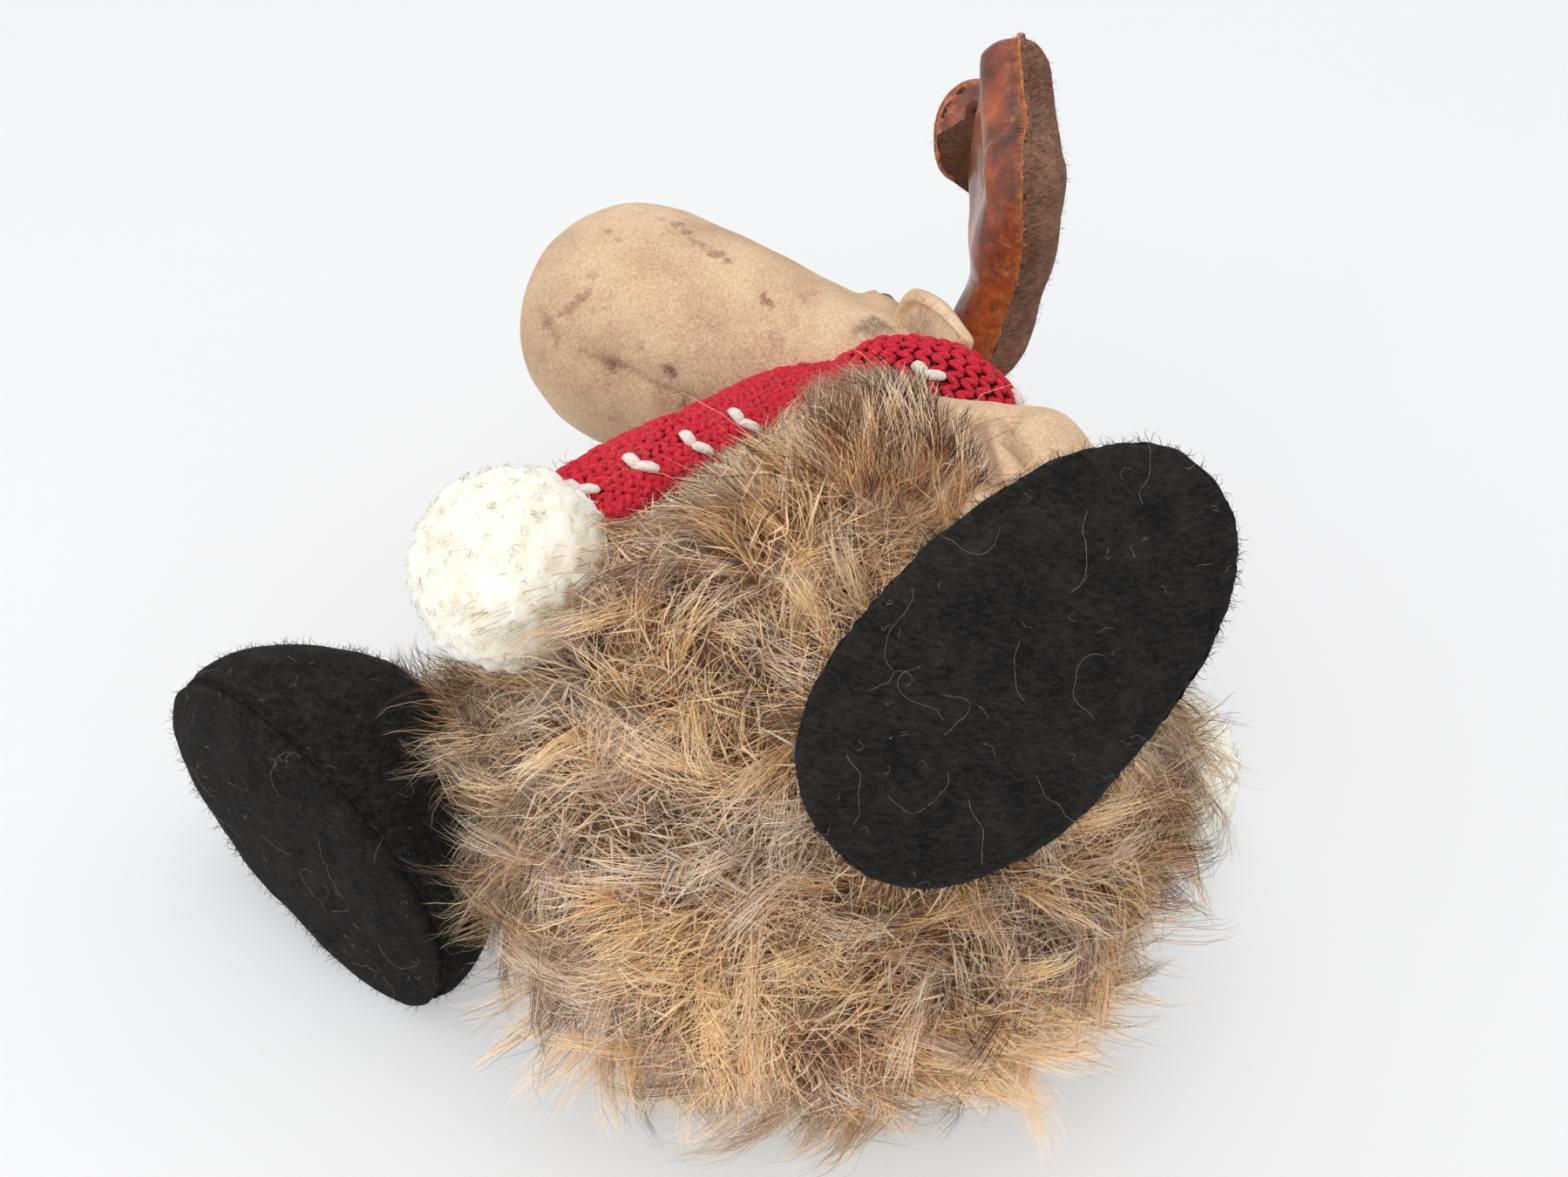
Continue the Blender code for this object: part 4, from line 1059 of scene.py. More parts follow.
def round_patch(side, other, reach, rng, wide=1.0, deep=1.0):
    """Where a lock's hairs stand round its middle, at random over a round patch."""
    total = len(side)
    angle = rng.random(total) * 2 * math.pi
    off = reach * np.sqrt(rng.random(total))
    return side * (np.cos(angle) * off * wide)[:, None] + other * (np.sin(angle) * off * deep)[:, None]


def gathered(shift, steps, hold):
    """A lock's hairs drawn together from its root to its point."""
    return shift[:, None, :] * (1 - hold * np.linspace(0, 1, steps) ** 1.2)[None, :, None]


def locks(rng):
    """Long pointed locks over the underfur, curled every way, longer and darker at the tips round the rim."""
    at, face, high = free_roots(5200, rng)
    picked = spaced(at, 430)
    at, face, high = at[picked], face[picked], high[picked]
    way = fall(at, face, high)
    tone, dark, rim = tone_of(at, rng)
    count = len(at)
    length = 0.0345 * rng.uniform(0.75, 1.20, count) * (1 + 0.12 * rim)
    lift = rng.uniform(0.60, 1.25, count) * (1 + 0.35 * rim) * (1 + 0.4 * ramp_up(high, 0.045, 0.03))
    bend = rng.normal(0, 0.85, count)
    spread = rng.uniform(0.0024, 0.0050, count)
    each = rng.integers(33, 54, count)
    of = np.repeat(np.arange(count), each)
    total = len(of)
    shift = round_patch(np.cross(face[of], way[of]), way[of], spread[of], rng, deep=1.3)
    ways = unit(flattened(way[of] + 0.10 * rng.standard_normal((total, 3)), face[of]))
    steps = 5
    paths = grow(at[of], face[of], ways, length[of] * rng.uniform(0.72, 1.10, total), lift[of],
                 bend[of] + rng.normal(0, 0.12, total), steps, 0.16, rng)
    paths = settle(paths + gathered(shift, steps, 0.80), rng)
    mixed = np.where(rng.random(total) < 0.30, rng.uniform(0.3, 1.0, total) * (rng.random(total) < 0.45), dark[of])
    marks = marks_for(total, steps, tone[of] + rng.normal(0, 0.16, total), mixed, rng.uniform(0.30, 1.0, total))
    show_hairs("fur_locks", paths, 0.000080, marks, rng, pieces=3)


def pressed_fur(rng):
    """Short fur lying flat where a boot, leg, scarf tail or pompom rests, seen once that lifts off."""
    roots, faces, high = fur_roots(7600, rng)
    _, depth = push_out(roots + faces * PILE_STANDS_OFF)
    keep = (depth <= 0) & (high < PRESSED_TOP) & (roots[:, 2] > ROOT_CLEARANCE)
    roots, faces, high = roots[keep], faces[keep], high[keep]
    total = len(roots)
    ways = unit(flattened(fall(roots, faces, high) + 0.6 * rng.standard_normal((total, 3)), faces))
    tone, dark, _ = tone_of(roots, rng)
    paths = grow(roots, faces, ways, 0.0135 * rng.uniform(0.7, 1.2, total), 0.24 * rng.uniform(0.5, 1.5, total),
                 rng.normal(0, 0.9, total), 4, 0.2, rng)
    paths[:, :, 2] = np.maximum(paths[:, :, 2], LYING_FUR)
    radii = 0.00022 * rng.uniform(0.7, 1.2, total)[:, None] * np.array((1.0, 0.9, 0.6, 0.0))[None]
    # The darker shades, 0.1 to 0.7, paint the shade of the boot, leg, tail or pompom resting on this fur.
    marks = marks_for(total, 4, tone, dark * 0.6, rng.uniform(0.1, 0.7, total))
    show("fur_pressed", strand_mesh("fur_pressed", paths, radii, marks), FUR, "toy")


rng = np.random.default_rng(SEED)
skin_points, skin_faces = lathe(body_profile(SKIN_DEPTH, 0.0035), 96)
skin_mesh = mesh_from("fur_backing", moved(np.array(skin_points), BODY), skin_faces)
skin_at, skin_out = vertex_arrays(skin_mesh)
skin_at += skin_out * (0.0012 * noise_at(skin_at, 0.022))[:, None]
skin_at[:, 2] = np.maximum(skin_at[:, 2], 0.0008)
set_points(skin_mesh, skin_at)
fur_backing = show("fur_backing", skin_mesh, FUR_BACKING, "toy", ("body_fur",))
# The fur_depth layer's dark shades, 0.12 to 0.50, paint the shade deep in the pile.
underfur("fur_depth", rng, count=9500, steps=3, length=0.0190, lift=1.15, frizz=0.25, width=0.00044,
         shades=(0.12, 0.50), pieces=1)
underfur("fur_tangle", rng, count=19500, steps=4, length=0.0290, lift=0.90, frizz=0.36, width=0.000086,
         shades=(0.25, 0.95), pieces=3)
locks(rng)

# Locks that the photograph shows over the scarf, leg, boots and rim, in its pixels: from across and down, to across
# and down, tone and dark tip
LOW_RIM = 1115
GUIDED = (
    (962, 560, 905, 468, 0.35, 0.5), (975, 552, 928, 442, 0.45, 0.7), (992, 550, 960, 424, 0.2, 1.0),
    (1012, 550, 1003, 428, 0.15, 1.0), (1032, 552, 1044, 432, 0.15, 1.0), (1050, 560, 1082, 448, 0.2, 0.9),
    (940, 575, 880, 500, 0.5, 0.2), (900, 590, 850, 520, 0.3, 0.1), (850, 600, 790, 545, 0.1, 0.2),
    (1000, 600, 1104, 515, 0.2, 0.6), (1022, 565, 1112, 474, 0.15, 1.0), (1045, 620, 1150, 548, 0.45, 0.5),
    (1010, 650, 1120, 588, 0.5, 0.2), (990, 580, 1088, 498, 0.3, 0.8), (1030, 590, 1135, 528, 0.4, 0.7),
    (1000, 690, 1085, 620, 0.5, 0.2), (985, 540, 1070, 462, 0.2, 1.0), (1040, 600, 1128, 500, 0.3, 0.8),
    (605, 800, 500, 772, 0.3, 1.0), (600, 830, 472, 812, 0.4, 0.9), (600, 860, 488, 850, 0.5, 0.6),
    (600, 900, 512, 878, 0.3, 0.4), (605, 930, 516, 955, 0.5, 0.5), (605, 975, 500, 1000, 0.3, 0.9),
    (610, 1015, 512, 1040, 0.2, 0.9), (615, 1060, 512, 1085, 0.5, 0.6), (625, 1100, 528, 1122, 0.3, 0.9),
    (590, 780, 540, 760, 0.4, 0.8), (645, 1130, 545, 1190, 0.5, 0.7), (665, 1175, 565, 1235, 0.3, 0.8),
    (700, 1195, 606, 1250, 0.7, 0.3), (760, 1200, 702, 1270, 0.8, 0.1), (830, 1205, 806, 1276, 0.8, 0.4),
    (900, 1200, 884, 1265, 0.6, 0.2), (980, 1198, 1002, 1252, 0.4, 0.6), (1060, 1195, 1112, 1252, 0.6, 0.3),
    (1120, 1185, 1196, 1256, 1.0, 0.2), (1130, 1200, 1212, 1302, 0.9, 0.0), (1180, 1165, 1304, 1212, 1.0, 0.7),
    (1200, 1135, 1318, 1165, 1.0, 0.8), (1222, 1100, 1330, 1122, 0.9, 0.6), (1250, 1058, 1372, 1075, 1.0, 0.5),
    (1262, 1030, 1402, 1040, 1.0, 0.8), (1270, 998, 1396, 1000, 0.6, 1.0), (1280, 960, 1392, 958, 0.4, 1.0),
    (1282, 920, 1400, 900, 0.4, 1.0), (1300, 862, 1402, 846, 0.8, 0.9), (1320, 820, 1392, 790, 1.0, 0.5),
    (1330, 850, 1420, 880, 0.9, 0.4), (700, 700, 650, 735, 0.1, 0.3), (690, 730, 618, 752, 0.2, 0.2),
    (720, 670, 668, 700, 0.1, 0.1), (690, 880, 770, 945, 0.7, 0.0), (800, 960, 872, 1032, 0.7, 0.0),
    (900, 1040, 1010, 1062, 0.6, 0.0), (760, 1030, 650, 1090, 0.8, 0.0), (840, 1090, 735, 1112, 0.6, 0.0),
    (1000, 1100, 1110, 1075, 0.4, 0.4), (640, 960, 730, 1010, 0.5, 0.0), (700, 800, 810, 770, 0.4, 0.8),
    (850, 700, 900, 800, 0.6, 0.0), (900, 860, 850, 960, 0.3, 0.0), (1060, 1060, 1180, 1040, 0.8, 0.3))


def guided_locks(rng):
    """Locks led from a place on the backing to where the photograph shows their tips."""
    roots = np.array([tuple(p) for p in seen_on(skin_mesh, [row[:2] for row in GUIDED])])
    faces = unit(roots - CENTRE)
    tips = []
    for root, row in zip(roots, GUIDED):
        ray = sight(*row[2:4])
        level = (Vector(root) - EYE).dot(ONWARD) - 0.010
        tips.append(tuple(EYE + ray * (level / ray.dot(ONWARD))))
    tips = np.array(tips)
    wisps = 5
    each = 12
    roots = np.repeat(roots, wisps, axis=0) + rng.normal(0, 0.0030, (len(roots) * wisps, 3))
    faces = np.repeat(faces, wisps, axis=0)
    tips = np.repeat(tips, wisps, axis=0) + rng.normal(0, 0.0052, (len(tips) * wisps, 3))
    of = np.repeat(np.arange(len(roots)), each)
    total = len(of)
    reach = rng.uniform(0.55, 1.08, total) * np.repeat(rng.uniform(0.75, 1.08, len(roots)), each)
    side = unit(np.cross(tips - roots, TO_CAMERA))[of]
    shift = round_patch(side, np.cross(unit(tips - roots)[of], side), 0.0030, rng, wide=1.2, deep=0.7)
    hump = np.linalg.norm(tips - roots, axis=1)[of] * 0.15
    sway = np.repeat(rng.normal(0, 0.0026, len(roots)), each) + rng.normal(0, 0.0013, total)
    phase = rng.random(total) * 2 * math.pi
    steps = 6
    paths = np.empty((total, steps, 3))
    for i in range(steps):
        t = i / (steps - 1) * reach
        held = (1 - 0.72 * t ** 1.1)[:, None]
        paths[:, i] = (roots[of] + (tips - roots)[of] * t[:, None] + faces[of] * (hump * 4 * t * (1 - t))[:, None]
                       + shift * held + side * (sway * np.sin(math.pi * t))[:, None]
                       + side * (0.0014 * t * np.sin(phase + 5.5 * t))[:, None])
    paths[:, 0] -= faces[of] * 0.001
    paths = settle(paths, rng)
    rows = of // wisps
    tone = np.array([row[4] for row in GUIDED])[rows] + rng.normal(0, 0.16, total)
    low = np.array([row[3] > LOW_RIM for row in GUIDED])[rows]
    dark = np.array([row[5] for row in GUIDED])[rows] * (rng.random(total) < np.where(low, 0.35, 0.80))
    tone = tone + 0.25 * low
    marks = marks_for(total, steps, tone, dark, rng.uniform(0.35, 1.0, total))
    show_hairs("fur_led_locks", paths, 0.000074, marks, rng)


def edge_fur(name, leg, outline, rng, centre, count, reach, tone, dark):
    """The fur's edge where it lies over a leg: small wisps that start inside an outline of the photograph."""
    mesh = bpy.data.objects[leg].data
    left, right = min(x for x, _ in outline), max(x for x, _ in outline)
    top, bottom = min(y for _, y in outline), max(y for _, y in outline)
    spots = rng.uniform((left, top), (right, bottom), (count * 4, 2))
    spots = spots[within(spots, outline)][:count]
    roots = np.array([tuple(p) for p in seen_on(mesh, [tuple(spot) for spot in spots])])
    count = len(roots)
    away = spots - np.array(centre)
    away = unit(np.stack([away[:, 0], -away[:, 1]], axis=1))
    way = away[:, :1] * SCREEN_RIGHT + away[:, 1:] * SCREEN_UP
    face = np.tile(TO_CAMERA, (count, 1))
    way = unit(way + 0.30 * flattened(rng.standard_normal((count, 3)), face))
    of = np.repeat(np.arange(count), 22)
    total = len(of)
    shift = round_patch(np.cross(face[of], way[of]), way[of], 0.0036, rng)
    ways = unit(way[of] + 0.13 * rng.standard_normal((total, 3)))
    length = reach * rng.uniform(0.65, 1.0, count)[of] * rng.uniform(0.65, 1.1, total)
    steps = 5
    paths = grow(roots[of], face[of], ways, length, rng.uniform(0.30, 0.80, count)[of],
                 rng.normal(0, 0.7, count)[of] + rng.normal(0, 0.15, total), steps, 0.16, rng)
    paths += gathered(shift, steps, 0.78)
    tone = tone + rng.normal(0, 0.25, count)[of] + rng.normal(0, 0.15, total)
    dark = dark * (rng.random(total) < 0.8) * (rng.random(count) < 0.85)[of]
    marks = marks_for(total, steps, tone, dark, rng.uniform(0.30, 1.0, total))
    show_hairs(name, paths, 0.000084, marks, rng)


guided_locks(rng)
pressed_fur(np.random.default_rng(SEED + 5))

# ---------------------------------------------------------------- the head, eyes and ears
MARK = linear(0.53, 0.27, 0.18)
SMUDGE = linear(0.38, 0.26, 0.19)
# Painted shade in the mouth's dimples.
DIMPLE_SHADE = linear(0.25, 0.13, 0.06)

# Where the photograph shows the mouth's seam, its dimples and a crease, in its pixels
MOUTH = ((672, 405), (700, 420), (718, 421), (740, 433), (759, 445), (776, 450), (800, 458))
DIMPLES = ((703, 421), (767, 427), (788, 463))
HEAD_CREASE = ((620, 355), (630, 372), (640, 390))


def lathed(name, profile, around, turn):
    """A mesh of a profile turned round a frame's Z."""
    points, faces = lathe(profile, around)
    return mesh_from(name, moved(np.array(points), turn), faces)


def turned_to(turn):
    """The frame whose Z is another frame's X."""
    axes = turn.to_3x3()
    return place(turn.translation, axes.col[2], -axes.col[1], axes.col[0])


HEAD_TURN = turned_to(HEAD)
NECK_RADIUS = 0.0112
NECK_LENGTH = 0.034
LOWEST_SINK = 0.0023
EYE_AT = np.array((0.04608, 0.11051, 0.10562))
head_ball = lathed("muzzle_and_cheeks", taper_profile(NAPE_RADIUS, MUZZLE_RADIUS, MUZZLE_REACH, MESH_SPACING), 72,
                   HEAD_TURN)
neck = lathed("neck_sleeve", taper_profile(NECK_RADIUS, NECK_RADIUS, NECK_LENGTH, MESH_SPACING), 32,
              BODY @ Matrix.Translation((0, 0, 0.094)))
head_mesh = remeshed("head_cover", [head_ball, neck], voxel=0.0013, smooth=5)
dimples = seen_on(head_mesh, DIMPLES)
head_at, head_out = vertex_arrays(head_mesh)
to_mouth = line_distance(head_at, seen_on(head_mesh, MOUTH))
to_crease = line_distance(head_at, seen_on(head_mesh, HEAD_CREASE))
sink = 0.0008 * falloff(to_mouth, 0.0010)
sink += 0.0006 * falloff(to_mouth, 0.0038)
sink += 0.0007 * falloff(to_crease, 0.0013)
for dimple in dimples:
    gap = np.linalg.norm(head_at - np.array(dimple), axis=1)
    sink += 0.0013 * falloff(gap, 0.0017) + 0.0005 * falloff(gap, 0.0042)
sink = np.minimum(sink, LOWEST_SINK)
swell = 0.0008 + 0.0008 * noise_at(head_at, 0.030) + 0.0004 * noise_at(head_at, 0.010, 3.0)
to_lid = np.linalg.norm(head_at - EYE_AT - 0.0030 * TO_CAMERA, axis=1) - 0.0038
swell += 0.0030 * falloff(to_lid, 0.0026) * (((head_at - EYE_AT) @ TO_CAMERA) > -0.001)
set_points(head_mesh, head_at + head_out * (swell - sink)[:, None])
# The mouth seam's dark line, and painted shade along the crease.
mark_seam_and_painted_shade(head_mesh, np.clip(0.45 * falloff(to_mouth, 0.0010) + 0.35 * falloff(to_crease, 0.0016), 0, 1))
# Each stain: its place in the photograph, size, strength and colour
STAINS = (
    ((671, 335), 0.0020, 0.7, MARK), ((664, 344), 0.0026, 0.85, MARK), ((655, 354), 0.0026, 0.85, MARK),
    ((646, 361), 0.0020, 0.7, MARK), ((780, 258), 0.0022, 0.8, MARK), ((788, 267), 0.0024, 0.8, MARK),
    ((798, 277), 0.0026, 0.7, MARK), ((811, 284), 0.0026, 0.7, MARK), ((823, 292), 0.0026, 0.8, MARK),
    ((836, 301), 0.0022, 0.8, MARK), ((874, 338), 0.0018, 0.9, MARK), ((879, 347), 0.0024, 0.9, MARK),
    ((885, 356), 0.0016, 0.8, MARK), ((695, 266), 0.0022, 0.7, MARK), ((705, 275), 0.0018, 0.6, MARK),
    ((758, 252), 0.0020, 0.5, MARK), ((680, 316), 0.0024, 0.5, MARK), ((924, 340), 0.0030, 0.45, MARK),
    ((912, 368), 0.0026, 0.35, MARK), ((893, 388), 0.0032, 0.45, MARK), ((735, 397), 0.0022, 0.4, MARK),
    ((628, 372), 0.0030, 0.6, MARK), ((640, 391), 0.0026, 0.5, MARK), ((672, 452), 0.0050, 0.30, MARK),
    ((758, 462), 0.0036, 0.40, MARK), ((1000, 372), 0.0052, 0.85, SMUDGE), ((1018, 378), 0.0040, 0.8, SMUDGE),
    # The darkest entries, in the dimples, are painted shade.
    ((990, 380), 0.0040, 0.6, SMUDGE), ((703, 421), 0.0050, 0.45, MARK), ((703, 421), 0.0028, 1.0, DIMPLE_SHADE),
    ((767, 427), 0.0040, 0.40, MARK), ((767, 427), 0.0023, 1.0, DIMPLE_SHADE), ((788, 463), 0.0024, 0.9, DIMPLE_SHADE))
stains = [(seen_on(head_mesh, [spot])[0], size, strength, tint) for spot, size, strength, tint in STAINS]
HEAD_VELVET = velvet_finish("tan_velvet_head", stains)
VELVET = velvet_finish("tan_velvet")
head_cover = show("head_cover_sewn", head_mesh, HEAD_VELVET, "toy", ("head_cover",))


def shaped_ball(shape, around, rows, low=-90.0):
    """A closed form from a shape that maps the unit ball, cut off flat at a latitude when low isn't -90."""
    profile = []
    for i in range(rows + 1):
        angle = math.radians(90 + (low - 90) * i / rows)
        profile.append((math.cos(angle) if 0 < i < rows or low > -90 else 0.0, math.sin(angle)))
    profile[0] = (0.0, 1.0)
    points, faces = lathe(profile, around)
    points = [shape(Vector(p)) for p in points]
    if low > -90:
        faces.append(tuple(range(len(points) - around, len(points)))[::-1])
    return points, faces


def ear_shape(point):
    """The folded velvet leaf with a thick turned rim, widest near the head and pointed at its end."""
    along = (point.x + 1) * 0.0175 - 0.0035
    narrow = 1 - 0.62 * max(0.0, point.x + 0.25) ** 1.3
    rim = min(1.0, math.hypot(point.x, point.y))
    thick = 0.0016 + 0.0014 * math.exp(-((rim - 0.90) / 0.07) ** 2) - 0.0008 * math.exp(-((rim - 0.76) / 0.05) ** 2)
    fold = 1.30 - 0.30 * max(0.0, point.x)
    radius = 0.0162 * narrow / fold
    angle = point.y * fold
    out = radius - math.copysign(abs(point.z) ** 0.45, point.z) * thick
    return Vector((along, out * math.sin(angle), radius - out * math.cos(angle) + 0.0020 * max(0.0, point.x) ** 2))


def make_ear(side):
    """A folded ear of velvet, with painted shade in its hollow."""
    points, faces = shaped_ball(ear_shape, 72, 44)
    mesh = mesh_from(f"ear_{side}", moved(np.array([tuple(p) for p in points]), EARS[side]), faces)
    at, out = vertex_arrays(mesh)
    set_points(mesh, at + out * (0.0005 * noise_at(at, 0.007))[:, None])
    ball, _ = shaped_ball(lambda p: p, 72, 44)
    ball = np.array([tuple(p) for p in ball])
    # Painted shade in the ear's hollow.
    hollow_shade = 0.85 * (ball[:, 2] > 0) * np.clip(1 - (np.hypot(ball[:, 0] + 0.25, ball[:, 1]) / 0.62) ** 2, 0, 1)
    mark_seam_and_painted_shade(mesh, hollow_shade)
    ear = show(f"ear_{side}_leaf", mesh, VELVET, "toy", (f"ear_{side}",))


for side in EARS:
    make_ear(side)

BEAD = bead_finish()
BATTING = batting_finish("white_batting", linear(0.80, 0.78, 0.72), linear(0.95, 0.94, 0.90))
PELLETS = batting_finish("pellet_sack", linear(0.55, 0.50, 0.42), linear(0.75, 0.70, 0.60))
for name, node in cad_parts.items():
    look = None
    if name.startswith("eye_"):
        look = BEAD
    elif name.endswith("stuffing") or name.endswith("filling"):
        look = BATTING
    elif name == "pellet_bag":
        look = PELLETS
    if look:
        item = node if isinstance(node, bpy.types.Object) else bpy.data.objects[name]
        item.data.materials.clear()
        item.data.materials.append(look)


def yarn_leg(length, radius):
    """One leg of a knitted stitch along Y: a plump bit of yarn, tapered and a little bowed."""
    profile = [(0.0, 0.5)]
    for i in range(1, 5):
        angle = math.pi * i / 5
        profile.append((math.sin(angle) ** 0.6, 0.5 * math.cos(angle)))
    profile.append((0.0, -0.5))
    points, faces = lathe(profile, 6)
    placed = []
    for x, y, z in points:
        bow = 0.10 * (1 - (2 * z) ** 2) * length
        placed.append((x * radius, z * length, y * radius * 0.8 + bow))
    return mesh_from("yarn_leg", placed, [face[::-1] for face in faces])


# ---------------------------------------------------------------- the boots
WOOL_FELT = felt_finish("black_wool_felt", linear(0.040, 0.038, 0.037), linear(0.19, 0.18, 0.175), 480.0)
FUZZ_BLACK = yarn_finish("black_wool_fibre", linear(0.08, 0.076, 0.072), linear(0.27, 0.255, 0.245))
LINT = yarn_finish("pale_lint", linear(0.36, 0.35, 0.33), linear(0.66, 0.64, 0.61))
THREAD = yarn_finish("black_thread", linear(0.03, 0.03, 0.03), linear(0.12, 0.11, 0.11), 1500.0, 0.2)


def fuller(x, y):
    """How far a boot's outline stands outside its ellipse in a direction: it is a little squared."""
    out = math.hypot(x, y)
    if out < 1e-6:
        return 1.0
    return (abs(x / out) ** 2.3 + abs(y / out) ** 2.3) ** (-1 / 2.3)


def boot_shape(point):
    """The rounded felt boot over its sole: toe along X, the ground below."""
    wide = fuller(point.x, point.y)
    across = point.y * wide * BOOT_HALF_WIDTH * (1 + TOE_SPREAD * point.x)
    rise = point.z ** 0.92 * BOOT_HEIGHT * (1 - TOE_DROP * point.x)
    return Vector((point.x * wide * BOOT_HALF_LENGTH, across, rise))


FUZZ_LEAN = 1.3


def fibre(name, length, bow, thick, steps=3):
    """One loose fibre along Z, three-sided, of unit scale times its length."""
    t = np.linspace(0, 1, steps)
    path = np.stack([bow * length * np.sin(2.6 * t), 0.5 * bow * length * (1 - np.cos(3.4 * t)), length * t], axis=1)
    radii = thick * np.linspace(1, 0.3, steps)
    return strand_mesh(name, path[None], radii[None], np.zeros((1, steps, 4)))


def add_fuzz(name, mesh, look, body, shape, density, length, seed):
    """Loose fibres all over a piece's mesh, as a piece of their own."""
    grown = run_tree(FUZZ, mesh.copy(), name, fibre=shape, density=density, length=length, lean=FUZZ_LEAN, seed=seed,
                     look=look)
    show(name, grown, look, body)


LINT_RADIUS = 0.000040


def lint_threads(name, mesh, body, count, seed):
    """Curly pale threads that lie on the felt."""
    chance = np.random.default_rng(seed)
    tree = surface_tree(mesh)
    steps = 18
    paths = []
    faces = mesh.polygons
    share = np.array([face.area for face in faces])
    share /= share.sum()
    for _ in range(count):
        face = faces[int(chance.choice(len(faces), p=share))]
        spot, facing = face.center.copy(), face.normal.copy()
        way = facing.orthogonal()
        way.rotate(Matrix.Rotation(chance.random() * 6.28, 3, facing))
        tiny = chance.random() < 0.80
        turn, drift = chance.normal(0, 0.20), chance.normal(0, 0.05)
        stride = chance.uniform(0.00010, 0.00026) if tiny else chance.uniform(0.0007, 0.0012)
        wander = 0.30 if tiny else 0.19
        path = []
        for _ in range(steps):
            path.append(tuple(spot + facing * chance.uniform(0.0003, 0.0009)))
            turn = 0.55 * turn + chance.normal(drift, wander)
            way.rotate(Matrix.Rotation(turn, 3, facing))
            found = tree.find_nearest(spot + way * stride)
            spot, facing = found[0], found[1]
            way = (way - facing * way.dot(facing)).normalized()
        paths.append(path)
    paths = np.array(paths)
    mesh = strand_mesh(name, paths, np.full(paths.shape[:2], LINT_RADIUS), np.zeros((count, steps, 4)))
    show(name, mesh, LINT, body)


# Where the photograph shows a boot fuller than its plain form: place, rise and width
BOOT_SWELLS = {"left": (), "right": (((435, 800), 0.0060, 0.022), ((300, 770), 0.0030, 0.016))}


